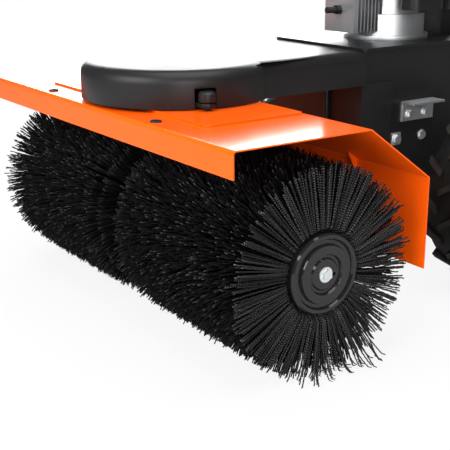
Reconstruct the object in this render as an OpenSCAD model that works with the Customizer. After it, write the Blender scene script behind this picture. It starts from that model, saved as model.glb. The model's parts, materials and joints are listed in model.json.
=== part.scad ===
// Power brush sweeper: a hooded two-part rotary brush carried in front of a walk-behind two-wheel tractor.
// Lengths are millimetres. The floor is z = 0, the front is -Y and the machine's left side is +X.

/* [Brush] */
// Radius over the bristle tips, pressed to the floor
brush_r = 194; // [180:1:198]
// Length of the bristle field from end to end
brush_w = 952; // [900:2:1000]
// Gap between the two brush halves, for the gear case
brush_gap = 104; // [100:2:120]
// Outer radius of the tubes that carry the bristles
core_r = 60; // [54:1:63]
// Radius of the pressed end discs
disc_r = 76; // [72:1:84]
// Radius of the brush shaft
shaft_r = 15; // [13:0.5:15]
// Strands in one ring of a brush half
strands_around = 24; // [18:1:24]
// Rings of strands along a brush half
strand_rings = 10; // [8:1:10]

/* [Hood] */
// How far the hood reaches past the bristles at each end
hood_over = 24; // [24:1:60]
// Sheet thickness of the hood
hood_t = 2.5; // [1.5:0.5:3]
// Gap from the bristle tips to the front lip
front_gap = 13; // [8:1:40]
// Gap from the bristle tips to the rear panel
rear_gap = 47; // [30:1:56]
// Gap from the bristle tips to the hood's top
top_gap = 60; // [54:1:70]
// Height of the front lip
lip_h = 48; // [20:1:70]
// Depth of the hood's slope from front to back
slope_d = 152; // [120:1:160]
// Drop of the hood's slope
slope_h = 109; // [70:1:130]
// Height of the rear panel
rear_h = 181; // [80:1:200]
// Distance between the two accessory holes near the lip
accessory_span = 438; // [400:2:600]

/* [Drive] */
// Tooth module of the crown gear and its pinion
gear_module = 2.8; // [2.6:0.1:2.8]
// Teeth on the pinion
pinion_teeth = 11; // [11:1:11]
// Teeth on the crown gear
crown_teeth = 33; // [33:1:33]
// Radius of the belt pulley on the brush head
driven_pulley_r = 108; // [90:1:112]
// Radius of the belt pulley under the engine
engine_pulley_r = 36; // [30:1:44]

/* [Tractor] */
// Distance from the brush shaft to the wheel axle
wheel_base = 660; // [650:5:700]
// Distance from the brush shaft to the tractor's front panel
nose_reach = 377; // [370:1:400]
// Width of the tractor's case over its side plates
case_w = 310; // [300:2:320]
// Length of the tractor's case
case_len = 500; // [480:5:540]

/* [Wheels] */
// Radius over the tyre lugs
tyre_r = 210; // [200:1:220]
// Width of a tyre
tyre_w = 120; // [100:2:130]
// Distance between the middles of the tyres
track_w = 652; // [620:2:680]
// Lugs on one side of a tyre
lug_count = 16; // [12:1:20]

/* [Handles] */
// Distance from the wheel axle to the ends of the grips
handle_reach = 760; // [700:5:820]
// Height of the ends of the grips
handle_h = 940; // [880:5:980]
// Distance between the grips
handle_w = 480; // [440:5:560]

/* [Hidden] */
$fn = 48;

orange = [0.98, 0.42, 0.08];
black = [0.09, 0.09, 0.10];
cast_grey = [0.55, 0.56, 0.57];
steel = [0.62, 0.63, 0.65];
zinc = [0.80, 0.82, 0.82];
bronze = [0.66, 0.50, 0.27];
rubber = [0.06, 0.06, 0.06];

// Overrun of every cut
over = 1;
// Radial running clearance between a shaft and its bearing
run_gap = 0.05;
// Clearance of a piece fixed in its seat
seat_gap = 0.1;
// Clearance between pieces that pass each other
pass_gap = 0.5;

axis_z = brush_r;
hood_half = brush_w / 2 + hood_over;
hood_front = brush_r + front_gap;
hood_rear = brush_r + rear_gap;
hood_top = 2 * brush_r + top_gap;
hood_fold = hood_rear - slope_d;
fold_r = 4;
gusset_x = 300;
gusset_leg = 34;
gusset_t = 4;
fold_steps = 6;
grip_len = 120;
grip_gap = 50;
grip_rise = 30;
grip_r = 17;
grip_tilt = atan2(grip_rise, grip_len + grip_gap);
overall = hood_front + wheel_base + handle_reach + grip_r * sin(grip_tilt);
brush_y = hood_front - overall / 2;

// Raised plate on the hood
plate_share = 0.64;
plate_half = plate_share * hood_half;
plate_front = 70;
plate_back = 6;
plate_t = 4;
plate_top = hood_top + plate_t;
accessory_back = 25;
grommet_r = 11;
grommet_neck = 8;
grommet_hole = 5.5;
grommet_lip = 3;

// Swivel between the boom and the brush head
ring_t = 6;
ring_r = 78;
ring_top = plate_top + ring_t;
post_r = 35;
post_bore = 20;
bush_t = 3;
housing_bore = post_r + bush_t;
housing_r = 50;
housing_h = 56;
housing_low = hood_top - housing_h;
ring_bolt_r = 64;
boom_gap = 1;
boom_low = ring_top + boom_gap;
boom_t = 8;
boom_top = boom_low + boom_t;
post_lift = 6;
post_low = housing_low + post_lift;
clip_t = 3;
clip_groove = 2;
clip_lift = 2;
clip_low = post_low + clip_lift;
bush_len = 20;
bush_low = clip_low + clip_t + 2 * pass_gap;
bush_high = ring_top - bush_len - pass_gap;
bolt_short = 1;
flange_t = 8;
post_flange_r = 62;
post_bolt_r = 52;
bolt_m8 = 4;
head_m8 = 7.2;
head_m8_t = 5.5;
bolt_m6 = 3;
head_m6 = 5.5;
head_m6_t = 4;

// Gear case between the brush halves
pinion_r = gear_module * pinion_teeth / 2;
crown_mean = gear_module * crown_teeth / 2;
gear_face = 14;
tooth_up_share = 0.9;
tooth_down_share = 1.15;
tooth_thick_share = 0.30;
tooth_slope = 20;
tooth_up = tooth_up_share * gear_module;
tooth_down = tooth_down_share * gear_module;
tooth_pitch = PI * gear_module * tooth_thick_share;
crown_tip_x = pinion_r - tooth_up;
crown_root_x = pinion_r + tooth_down;
crown_t = 5;
crown_back_x = crown_root_x + crown_t;
crown_out = crown_mean + gear_face / 2;
case_half = 42;
gear_case_r = 70;
gear_cavity_r = 62;
cavity_half = crown_back_x + pass_gap;
neck_r = 29;
neck_bore = 21;
neck_flange_t = 10;
neck_bolt_r = 45;
case_flange_r = 84;
case_flange_t = 6;
case_bolt_r = 77;
case_bolts_n = 6;
bearing_r = 31;
bearing_groove = 2;
seal_t = 3;
input_r = 12;
input_step_r = 9;
shaft_spare = 1;
pinion_low = axis_z + crown_mean - gear_face / 2;
pinion_high = axis_z + crown_mean + gear_face / 2;
input_bearing_t = 14;
bearing_lift = 8;
input_low_bearing = axis_z + gear_cavity_r + bearing_lift;
bearing_set = 2;
input_high_bearing = housing_low - input_bearing_t - bearing_set;

// Brush halves
core_in = brush_gap / 2;
core_out = brush_w / 2;
core_t = 3.5;
web_t = 5;
hub_r = 24;
hub_len = 40;
inner_flange_t = 3;
flange_step = 2;
inner_flange_r = disc_r + flange_step;
backing_t = 12;
root_r = core_r + backing_t;
strand_w = 6;
strand_tip_share = 0.55;
strand_lean = 5;
strand_turn = 2;
bristle_x0 = core_in + inner_flange_t + seat_gap;
bristle_x1 = core_out - seat_gap;
strand_pitch = (bristle_x1 - bristle_x0) / strand_rings;
strand_step = 360 / strands_around;
strand_angle = strand_w / root_r * 180 / PI;
x_lines = 2 * strand_rings + 2;
a_lines = 2 * strands_around;

// End discs
disc_t = 3;
disc_depth = 15;
disc_front = core_out + disc_depth;
disc_edge = 3;
disc_groove = 5;
disc_dish = 1;
disc_hole = 6.3;
pilot_r = 3.5;
pilot_at = 21;
pilot_turn = 82;
shaft_end = disc_front - disc_dish - disc_t - seat_gap;
end_bolt_r = 6;
end_bolt_len = 28;
washer_r = 14.6;
washer_t = 2.5;
end_bolt_spare = 4;
end_head_r = 10.6;
end_head_t = 6;

// Belt and pulleys
belt_w = 13;
belt_steps = 24;
belt_h = 9;
belt_sink = 1;
groove_spare = 2;
groove_slant = 1;
belt_ease = 2;
pulley_rim = 5;
pulley_wall = 4;
belt_rise = 16;
belt_z = boom_top + flange_t + belt_rise;
pulley_half = belt_w / 2 + pulley_rim;
pulley_hub_r = 24;
nut_r = 14;
nut_t = 8;
input_high = belt_z + pulley_half + nut_t;

// Boom and black covers
sheet_t = 4;
boom_half = (case_w - 2 * sheet_t) / 2;
boom_front = 64;
boom_back = 510;
boom_corner = 40;
rib_t = 6;
rib_h = 46;
lug_t = 10;
cover_r = 200;
cover_side = 10;
cover_half = case_w / 2 + cover_side;
cover_t = 3;
cover_gap = 6;
cover_low = hood_top + cover_gap;
cover_rise = 36;
cover_top = belt_z + cover_rise;
cover_round = 26;
cover_levels = 6;
cover_steps = 60;
cover_spare = 40;
cover_cut = nose_reach + cover_t - pass_gap;
cover_back = cover_cut + cover_spare;
lug_reach = (cover_r - cover_t) * cos(asin((boom_corner + lug_t) / (cover_r - cover_t))) - pass_gap;
bead_r = 6;
bead_x = 45;
knob_x = 200;
knob_y = 57;
knob_r = 17;
knob_h = 22;
knob_stem = 6;
knob_waist = 10;
knob_cut = 24;
knob_cut_h = 40;
knob_edge = 4;
knob_foot = 2;
ear_half = 15;

// Tractor case
case_half_w = case_w / 2;
case_front = nose_reach + cover_t;
case_back = case_front + case_len;
case_top = cover_top;
case_nose_low = 300;
case_tail_low = 330;
case_belly = 150;
belly_front = 90;
belly_back = 110;
lug_sweep = 26;
lug_w = 15;
lug_top = sqrt(tyre_r * tyre_r - (lug_sweep + lug_w) * (lug_sweep + lug_w) / 4);
axle_z = lug_top;
axle_r = 12.5;
axle_pass = 14;
axle_nut = 4;
deck_t = 6;
deck_lip = 5;
deck_over = 1;
deck_top = case_top + deck_t;
wing_len = 92;
nose_gap = 2;
nose_top = boom_low - nose_gap;
engine_y = 590;
crank_r = 12;
crank_pass = 30;
crank_spare = 2;

// Brackets and bolts on the case
bracket_t = 5;
bracket_back = 120;
bracket_y0 = case_front + bracket_back;
bracket_len = 100;
bracket_rise = 60;
bracket_z0 = case_nose_low + bracket_rise;
bracket_h = 46;
bracket_out = 40;
plate_zinc = 28;
plate_zinc_back = 106;
plate_zinc_y = case_front + plate_zinc_back;
plate_zinc_rise = 22;
plate_zinc_z = case_nose_low + plate_zinc_rise;
side_bolt_back = 190;
side_bolt_y = case_front + side_bolt_back;
side_bolt_rise = 22;
side_bolt_z = case_nose_low + side_bolt_rise;
bolt_m10_head = 9.5;
bolt_m10_head_t = 6.5;
bolt_m10_washer = 12;
bolt_m10_washer_t = 2;

// Transaxle
gear_drum_r = 58;
gear_drum_half = 100;
axle_tube_r = 24;
tower_r = 42;
tower_back = 75;
tower_h = 120;
tower_cap_r = 26;
tower_cap_h = 30;
axle_in = 112;

// Wheels
track_half = track_w / 2;
rim_r = 100;
rim_t = 3;
rim_half = 46;
rim_flange = 7;
web_off = 8;
wheel_web_t = 4;
wheel_hub_r = 22;
wheel_hub_half = 40;
wheel_hole_r = 14;
wheel_hole_at = 60;
wheel_holes = 5;
lug_h = 10;
lug_sink = 8;
tyre_mid = (rim_r + tyre_r - lug_h) / 2;
tyre_tall = (tyre_r - lug_h - rim_r) / 2;
tyre_wall = 11;
tyre_power = 0.588;
tyre_start = -50;
tyre_steps = 28;
bead_w = 42;
lug_root = tyre_r - lug_h - lug_sink;
lug_in = 2;
lug_out = 46;

// Engine on the deck
base_r = 100;
base_t = 10;
sump_r = 90;
sump_h = 48;
block_r = 80;
block_h = 119;
bore_h = 60;
cyl_half = 50;
cyl_core = 38;
cyl_len = 96;
cyl_z = 60;
fin_t = 3;
fin_count = 8;
head_t = 14;
plug_hex = 11;
plug_hex_t = 12;
plug_r = 7;
plug_len = 38;
blower_half = 112;
blower_deep = 116;
blower_low = deck_top + base_t + block_h;
blower_h = 96;
blower_corner = 60;
blower_round = 34;
starter_r = 76;
starter_h = 24;
starter_bevel = 14;
slot_count = 10;
slot_w = 6;
slot_in = 34;
slot_len = 26;
slot_deep = 8;
tank_half = 96;
tank_deep = 84;
tank_h = 112;
tank_corner = 26;
tank_round = 12;
tank_lift = 62;
tank_gap = 1;
tank_top = deck_top + tank_lift + tank_h;
tank_y = engine_y + blower_deep + tank_deep / 2 + tank_gap;
round_share = 0.9;
cap_r = 27;
cap_h = 22;
cap_edge = 3;
flute_r = 4;
flute_in = 1;
cap_x = 42;
neck_h = 5;
cap_neck_r = 17;
grip_flats = 10;
muffler_w = 62;
muffler_d = 96;
muffler_h = 66;
muffler_lift = 60;
side_gap = 6;
muffler_corner = 18;
pipe_r = 13;
pipe_len = 20;
filter_w = 58;
filter_d = 100;
filter_h = 56;
filter_lift = 70;
filter_corner = 20;
pull_r = 9;
pull_half = 36;
pull_stem = 6;
pull_back = 20;

// Handles and levers
tube_r = 12.5;
tube_bend = 60;
elbow_more = 0.2;
foot_r = 10.5;
foot_y = 790;
foot_z = 420;
knee_y = 900;
knee_z = 500;
handle_end_y = wheel_base + handle_reach;
bend_y = handle_end_y - grip_len - grip_gap;
bend_z = handle_h - grip_rise;
bridge_r = 10;
panel_half = 150;
panel_deep = 110;
panel_h = 46;
panel_corner = 16;
panel_back = 60;
lever_r = 5.5;
lever_bend = 14;
lever_rise = 60;
lever_pin_r = 5;
lever_boss_r = 11;
lever_boss_w = 12;
lever_side = 5;
lever_cap_r = 8;
lever_cap_t = 3;
lever_len = 150;
stick_r = 4;
stick_len = 70;
stick_knob_r = 13;
stick_boss_r = 10;
stick_boss_w = 10;
ear_t = 5;
ear_h = 22;
ear_r = 11;
throttle_x = 70;
shift_x = -70;

// Puts a piece that is measured from the brush shaft into the machine's own frame
module placed() translate([0, brush_y, 0]) children();

// Both sides of the machine
module both() {
    children();
    mirror([1, 0, 0]) children();
}

// Round bar along X
module x_rod(x0, x1, r) translate([x0, 0, 0]) rotate([0, 90, 0]) cylinder(h = x1 - x0, r = r);

// Round bar along Z
module z_rod(z0, z1, r) translate([0, 0, z0]) cylinder(h = z1 - z0, r = r);

// Outline of radius and X turned around the X axis
module x_turn(points) rotate([0, 90, 0]) rotate_extrude() polygon(points);

// Outline of radius and Z turned around the Z axis
module z_turn(points) rotate_extrude() polygon(points);

// Outline of Y and Z drawn out along X
module x_sheet(x0, x1, points) translate([x0, 0, 0]) rotate([90, 0, 90]) linear_extrude(height = x1 - x0)
    polygon(points);

// Round bar from one point to another
module rod(a, b, r) {
    d = b - a;
    translate(a) rotate([0, acos(d.z / norm(d)), atan2(d.y, d.x)]) cylinder(h = norm(d), r = r);
}

function unit(v) = v / norm(v);

// Direction of a bent bar's straight number i, and what bend number i takes off the straights beside it
function run_of(points, i) = unit(points[i + 1] - points[i]);
function turn_of(points, i) = acos(run_of(points, i - 1) * run_of(points, i));
function cut_of(points, i, bend) = (i == 0 || i == len(points) - 1) ? 0 : bend * tan(turn_of(points, i) / 2);

// Bend number i of a bar, turned about its own centre, a little stouter so that the straights end inside it
module elbow(points, i, r, bend) {
    d = run_of(points, i - 1);
    n = unit(run_of(points, i) - (run_of(points, i) * d) * d);
    z = cross(-n, d);
    c = points[i] - cut_of(points, i, bend) * d + bend * n;
    multmatrix([[-n.x, d.x, z.x, c.x], [-n.y, d.y, z.y, c.y], [-n.z, d.z, z.z, c.z]])
        rotate_extrude(angle = turn_of(points, i)) translate([bend, 0]) circle(r = r + elbow_more);
}

// Bent round bar through points, with bends of one radius
module bent_rod(points, r, bend) {
    last = len(points) - 1;
    for (i = [0:last - 1])
        rod(points[i] + (cut_of(points, i, bend) - (i == 0 ? 0 : over)) * run_of(points, i),
            points[i + 1] - (cut_of(points, i + 1, bend) - (i == last - 1 ? 0 : over)) * run_of(points, i), r);
    for (i = [1:last - 1])
        elbow(points, i, r, bend);
}

function side(v) = [-v.y, v.x];
function backwards(list) = [for (i = [len(list) - 1:-1:0]) list[i]];

// Round of a fold at p between two directions, at radius r and less by t on the inside
function fold(p, d0, d1, r, t) = let (n0 = side(d0), n1 = side(d1), c = p - r * (n0 + n1) / (1 + n0 * n1))
    [for (i = [0:fold_steps]) c + (r - t) * unit(n0 * (fold_steps - i) + n1 * i)];

// Rectangle around the origin with rounded corners
function round_box(x, y, r) = [for (q = [0:3]) for (i = [0:fold_steps])
    let (a = 90 * (q + i / fold_steps), sx = (q == 0 || q == 3) ? 1 : -1, sy = q < 2 ? 1 : -1)
    [sx * (x - r) + r * cos(a), sy * (y - r) + r * sin(a)]];

// Rings of points, at rising heights, for a box with a rounded top edge
function box_rings(x, y, r, low, high, round) = concat([[for (p = round_box(x, y, r)) [p.x, p.y, low]]],
    [for (i = [0:cover_levels]) let (a = 90 * i / cover_levels, in = round * (1 - cos(a)))
        [for (p = round_box(x - in, y - in, r - in * r / (x + r))) [p.x, p.y, high - round + round * sin(a)]]]);

// Closed skin through rings of points, each running the same way round, from the lowest to the highest
module skin(rings) {
    n = len(rings[0]);
    m = len(rings);
    polyhedron(points = [for (ring = rings) for (p = ring) p],
        faces = concat([[for (i = [0:n - 1]) i]],
            [for (j = [0:m - 2]) for (i = [0:n - 1]) [j * n + i, (j + 1) * n + i, j * n + (i + 1) % n]],
            [for (j = [0:m - 2]) for (i = [0:n - 1])
                [j * n + (i + 1) % n, (j + 1) * n + i, (j + 1) * n + (i + 1) % n]],
            [[for (i = [n - 1:-1:0]) (m - 1) * n + i]]));
}

// Skin of a cap that is open below, from rings outside and rings inside
module cap_skin(outer, inner) {
    n = len(outer[0]);
    m = len(outer);
    k = m * n;
    polyhedron(points = [for (ring = concat(outer, inner)) for (p = ring) p],
        faces = concat(
            [for (j = [0:m - 2]) for (i = [0:n - 1]) [j * n + i, (j + 1) * n + i, j * n + (i + 1) % n]],
            [for (j = [0:m - 2]) for (i = [0:n - 1])
                [j * n + (i + 1) % n, (j + 1) * n + i, (j + 1) * n + (i + 1) % n]],
            [[for (i = [n - 1:-1:0]) (m - 1) * n + i]],
            [for (j = [0:m - 2]) for (i = [0:n - 1])
                [k + (j + 1) * n + i, k + j * n + i, k + j * n + (i + 1) % n]],
            [for (j = [0:m - 2]) for (i = [0:n - 1])
                [k + (j + 1) * n + i, k + j * n + (i + 1) % n, k + (j + 1) * n + (i + 1) % n]],
            [[for (i = [0:n - 1]) k + (m - 1) * n + i]],
            [for (i = [0:n - 1]) [k + i, i, (i + 1) % n]],
            [for (i = [0:n - 1]) [k + i, (i + 1) % n, k + (i + 1) % n]]));
}

// Hexagon bolt standing on z = 0, with its head above and its shank below
module hex_bolt(head_r, head_h, shank_r, shank_len) {
    cylinder(h = head_h, r = head_r, $fn = 6);
    translate([0, 0, -shank_len]) cylinder(h = shank_len + over, r = shank_r);
}

// Brush head: sheet-metal hood

function hood_outside(t) = let (up = [0, 1], back = [1, 0], down = [0, -1], slope = unit([slope_d, -slope_h]),
    r = fold_r + hood_t)
    concat([[-hood_front + t, hood_top - lip_h]],
        fold([-hood_front, hood_top], up, back, r, t),
        fold([hood_fold, hood_top], back, slope, r, t),
        fold([hood_rear, hood_top - slope_h], slope, down, r, t),
        [[hood_rear - t, hood_top - slope_h - rear_h]]);

// Triangular gusset across the rear fold, let into the sheet
module gusset(x) {
    slope = unit([slope_d, -slope_h]);
    both_sides = side(slope) + [1, 0];
    corner = [hood_rear, hood_top - slope_h] - (hood_t - over) * both_sides / (both_sides * [1, 0]);
    x_sheet(x - gusset_t / 2, x + gusset_t / 2,
        [corner, corner - gusset_leg * slope, corner - [0, gusset_leg]]);
}

module hood() color(orange) placed() difference() {
    union() {
        x_sheet(-hood_half, hood_half, concat(hood_outside(0), backwards(hood_outside(hood_t))));
        for (x = [-gusset_x, gusset_x])
            gusset(x);
    }
    z_rod(hood_top - hood_t - over, hood_top + over, housing_r + pass_gap);
    ring_bolts() z_rod(hood_top - hood_t - over, hood_top + over, bolt_m8 + seat_gap);
    both() translate([accessory_span / 2, accessory_back - hood_front, 0])
        z_rod(hood_top - hood_t - over, hood_top + over, grommet_neck + seat_gap);
}

module ring_bolts() for (k = [0:5]) rotate(60 * k + 30) translate([ring_bolt_r, 0, 0]) children();

module top_plate() color(orange) placed() difference() {
    plate_y0 = plate_front - hood_front;
    plate_y1 = hood_fold - plate_back;
    translate([0, (plate_y0 + plate_y1) / 2, hood_top]) linear_extrude(height = plate_t)
        polygon(round_box(plate_half, (plate_y1 - plate_y0) / 2, grommet_r));
    z_rod(hood_top - over, plate_top + over, housing_r + pass_gap);
    ring_bolts() z_rod(hood_top - over, plate_top + over, bolt_m8 + seat_gap);
}

// Rubber rings that line the accessory holes
module hood_grommets() color(rubber) placed() both()
    translate([accessory_span / 2, accessory_back - hood_front, hood_top])
        z_turn([[grommet_hole, -hood_t - grommet_lip], [grommet_r, -hood_t - grommet_lip],
            [grommet_r, -hood_t - seat_gap], [grommet_neck, -hood_t - seat_gap], [grommet_neck, seat_gap],
            [grommet_r, seat_gap], [grommet_r - over, grommet_lip], [grommet_hole, grommet_lip]]);

module swivel_housing() color(black) placed() difference() {
    union() {
        z_rod(housing_low, ring_top, housing_r);
        z_rod(plate_top, ring_top, ring_r);
    }
    z_rod(housing_low - over, ring_top + over, housing_bore);
    ring_bolts() z_rod(plate_top - over, ring_top + over, bolt_m8 + seat_gap);
    neck_bolts() z_rod(housing_low - over, housing_low + 2 * flange_t + over, bolt_m8 + seat_gap);
}

module neck_bolts() for (k = [0:3]) rotate(90 * k + 45) translate([neck_bolt_r, 0, 0]) children();

module swivel_bushes() color(bronze) placed()
    for (z = [bush_low, bush_high])
        difference() {
            z_rod(z, z + bush_len, housing_bore - seat_gap / 2);
            z_rod(z - over, z + bush_len + over, post_r + run_gap);
        }

// Brush head: gear case

module gear_case() difference() {
    union() {
        translate([0, 0, axis_z]) x_rod(-case_half, case_half, gear_case_r);
        translate([0, 0, axis_z]) x_rod(-case_flange_t, case_flange_t, case_flange_r);
        z_rod(axis_z, housing_low, neck_r);
        z_rod(housing_low - neck_flange_t, housing_low, housing_r);
    }
    translate([0, 0, axis_z]) {
        x_rod(-cavity_half, cavity_half, gear_cavity_r);
        x_rod(-case_half - over, case_half + over, bearing_r);
        case_bolts_at() x_rod(-case_flange_t - over, case_flange_t + over, bolt_m6 + seat_gap);
    }
    z_rod(axis_z, housing_low + over, neck_bore);
    neck_bolts() z_rod(housing_low - neck_flange_t - over, housing_low + over, bolt_m8 + seat_gap);
}

module case_bolts_at() for (k = [1:case_bolts_n]) rotate([360 * k / (case_bolts_n + 1), 0, 0])
    translate([0, 0, case_bolt_r]) children();

module half_space(s) translate([s > 0 ? 0 : -2 * case_flange_r, -2 * case_flange_r, 0])
    cube([2 * case_flange_r, 4 * case_flange_r, hood_top]);

module gear_case_left() color(black) placed() intersection() {
    gear_case();
    half_space(1);
}

module gear_case_right() color(black) placed() intersection() {
    gear_case();
    half_space(-1);
}

// Ring bearing with a shallow groove on both faces between its two races
module bearing(low, high, bore, out) {
    mid = (bore + out) / 2;
    z_turn([[bore, low], [mid - bearing_groove, low], [mid - bearing_groove, low + over],
        [mid + bearing_groove, low + over], [mid + bearing_groove, low], [out, low], [out, high],
        [mid + bearing_groove, high], [mid + bearing_groove, high - over], [mid - bearing_groove, high - over],
        [mid - bearing_groove, high], [bore, high]]);
}

module shaft_bearings() color(steel) placed() {
    both() translate([0, 0, axis_z]) rotate([0, 90, 0])
        bearing(cavity_half + pass_gap, case_half - seal_t - pass_gap, shaft_r + run_gap, bearing_r - seat_gap);
    bearing(input_low_bearing, input_low_bearing + input_bearing_t, input_r + run_gap, neck_bore - seat_gap);
    bearing(input_high_bearing, input_high_bearing + input_bearing_t, input_r + run_gap, neck_bore - seat_gap);
}

module shaft_seals() color(rubber) placed() both() translate([0, 0, axis_z]) difference() {
    x_rod(case_half - seal_t, case_half, bearing_r - seat_gap);
    x_rod(case_half - seal_t - over, case_half + over, shaft_r + pass_gap);
}

// Bolts of the swivel ring, the neck and the two halves of the gear case
module head_bolts() color(zinc) placed() {
    ring_bolts() translate([0, 0, hood_top - hood_t]) mirror([0, 0, 1])
        hex_bolt(head_m8, head_m8_t, bolt_m8, hood_t + plate_t + ring_t - bolt_short);
    neck_bolts() translate([0, 0, housing_low - neck_flange_t]) mirror([0, 0, 1])
        hex_bolt(head_m8 - over, head_m8_t, bolt_m8, neck_flange_t + flange_t);
    translate([0, 0, axis_z]) case_bolts_at() translate([case_flange_t, 0, 0]) rotate([0, 90, 0]) {
        hex_bolt(head_m6, head_m6_t, bolt_m6, 2 * case_flange_t + head_m6_t);
        translate([0, 0, -2 * case_flange_t - head_m6_t]) cylinder(h = head_m6_t, r = head_m6, $fn = 6);
    }
}

// Brush

module brush_shaft() color(steel) placed() translate([0, 0, axis_z]) difference() {
    x_rod(-shaft_end, shaft_end, shaft_r);
    both() x_rod(shaft_end - end_bolt_len, shaft_end + over, end_bolt_r + seat_gap);
}

// Crown gear with straight teeth on its face
module crown_gear() color(steel) placed() translate([0, 0, axis_z]) difference() {
    root_half = tooth_pitch / 2 + tan(tooth_slope) * (tooth_down + over);
    tip_half = tooth_pitch / 2 - tan(tooth_slope) * tooth_up;
    union() {
        x_rod(crown_root_x, crown_back_x, crown_out);
        for (k = [1:crown_teeth])
            rotate([360 * (k - 1 / 2) / crown_teeth, 0, 0]) translate([0, 0, crown_out - gear_face])
                linear_extrude(height = gear_face - over)
                    polygon([[crown_root_x + over, -root_half], [crown_root_x + over, root_half],
                        [crown_tip_x, tip_half], [crown_tip_x, -tip_half]]);
    }
    x_rod(crown_tip_x - over, crown_back_x + over, shaft_r + seat_gap / 2);
}

// Tube with end webs on a hub, and a flange beside the gear case
module brush_core() translate([0, 0, axis_z]) x_turn([[shaft_r + seat_gap / 2, core_in],
    [inner_flange_r, core_in], [inner_flange_r, core_in + inner_flange_t], [core_r, core_in + inner_flange_t],
    [core_r, core_out], [shaft_r + seat_gap / 2, core_out], [shaft_r + seat_gap / 2, core_out - hub_len],
    [hub_r, core_out - hub_len], [hub_r, core_out - web_t], [core_r - core_t, core_out - web_t],
    [core_r - core_t, core_in + web_t], [hub_r, core_in + web_t], [hub_r, core_in + hub_len],
    [shaft_r + seat_gap / 2, core_in + hub_len]]);

module core_left() color(black) placed() brush_core();

module core_right() color(black) placed() mirror([1, 0, 0]) brush_core();

// Bristles: a ring whose skin is drawn out into tapered strands, every face of it a triangle

function ring_of(j) = floor((j - 1) / 2);
function ring_x(i) = bristle_x0 + (i + 1 / 2) * strand_pitch;
function line_x(j) = j == 0 ? bristle_x0 : j == x_lines - 1 ? bristle_x1
    : ring_x(ring_of(j)) + (j % 2 == 1 ? -1 : 1) * strand_w / 2;
function line_turn(j) = (j == 0 || j == x_lines - 1) ? 0 : (ring_of(j) % 2) * strand_step / 2;
function line_angle(k) = floor(k / 2) * strand_step + (k % 2 == 0 ? -1 : 1) * strand_angle / 2;
function around(x, r, a) = [x, r * cos(a), r * sin(a)];
function strand_tip(i, s, q) = let (wide = strand_tip_share * strand_w / 2,
    a = s * strand_step + (i % 2) * strand_step / 2 + strand_turn * sin(97 * i + 53 * s),
    da = wide / brush_r * 180 / PI, sx = (q == 1 || q == 2) ? 1 : -1, sa = q > 1 ? 1 : -1)
    around(ring_x(i) + strand_lean * sin(71 * i + 37 * s) + sx * wide, brush_r, a + sa * da);
function grid(j, k) = j * a_lines + k % a_lines;
function bore_at(e, k) = (x_lines + e) * a_lines + k % a_lines;
function tip_at(i, s, q) = (x_lines + 2) * a_lines + 4 * (i * strands_around + s) + q;
function is_strand(j, k) = j % 2 == 1 && k % 2 == 0;
function cell(j, k) = let (p = [grid(j, k), grid(j + 1, k), grid(j + 1, k + 1), grid(j, k + 1)])
    is_strand(j, k) ? let (t = [for (q = [0:3]) tip_at((j - 1) / 2, k / 2, q)])
        concat([[t[0], t[1], t[2]], [t[0], t[2], t[3]]],
            [for (q = [0:3]) [t[(q + 1) % 4], t[q], p[q]]],
            [for (q = [0:3]) [t[(q + 1) % 4], p[q], p[(q + 1) % 4]]])
    : [[p[0], p[1], p[2]], [p[0], p[2], p[3]]];

module bristle_ring() {
    bore_r = (core_r + seat_gap) / cos((strand_step - strand_angle) / 2);
    translate([0, 0, axis_z]) polyhedron(
        points = concat(
            [for (j = [0:x_lines - 1]) for (k = [0:a_lines - 1])
                around(line_x(j), root_r, line_angle(k) + line_turn(j))],
            [for (k = [0:a_lines - 1]) around(bristle_x0, bore_r, line_angle(k))],
            [for (k = [0:a_lines - 1]) around(bristle_x1, bore_r, line_angle(k))],
            [for (i = [0:strand_rings - 1]) for (s = [0:strands_around - 1]) for (q = [0:3])
                strand_tip(i, s, q)]),
        faces = concat(
            [for (j = [0:x_lines - 2]) for (k = [0:a_lines - 1]) for (f = cell(j, k)) f],
            [for (k = [0:a_lines - 1]) [grid(0, k), grid(0, k + 1), bore_at(0, k + 1)]],
            [for (k = [0:a_lines - 1]) [grid(0, k), bore_at(0, k + 1), bore_at(0, k)]],
            [for (k = [0:a_lines - 1]) [grid(x_lines - 1, k + 1), grid(x_lines - 1, k), bore_at(1, k)]],
            [for (k = [0:a_lines - 1]) [grid(x_lines - 1, k + 1), bore_at(1, k), bore_at(1, k + 1)]],
            [for (k = [0:a_lines - 1]) [bore_at(0, k), bore_at(0, k + 1), bore_at(1, k + 1)]],
            [for (k = [0:a_lines - 1]) [bore_at(0, k), bore_at(1, k + 1), bore_at(1, k)]]));
}

module bristles_left() color(rubber) placed() bristle_ring();

module bristles_right() color(rubber) placed() mirror([1, 0, 0]) bristle_ring();

// Pressed disc: radii as shares of the disc's own, each with how far it stands before the rim
disc_shares = [[0.88, 0], [0.83, -1], [0.75, -1], [0.71, 0.3], [0.51, 0.3], [0.47, -0.8], [0.41, -0.8],
    [0.37, -0.2]];
function disc_face(t) = [for (p = disc_shares) [p[0] * disc_r, disc_front + p[1] * disc_groove - t]];

module end_disc() translate([0, 0, axis_z]) difference() {
    x_turn(concat([[disc_r, core_out + pass_gap], [disc_r, disc_front - disc_edge],
        [disc_r - disc_edge, disc_front]], disc_face(0),
        [[disc_hole, disc_front - disc_dish], [disc_hole, disc_front - disc_dish - disc_t]],
        backwards(disc_face(disc_t)), [[disc_r - disc_t, disc_front - disc_t - over],
        [disc_r - disc_t, core_out + pass_gap]]));
    rotate([pilot_turn, 0, 0]) translate([0, 0, -pilot_at])
        x_rod(core_out, disc_front + over, pilot_r);
}

module end_disc_left() color(black) placed() end_disc();

module end_disc_right() color(black) placed() mirror([1, 0, 0]) end_disc();

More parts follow.
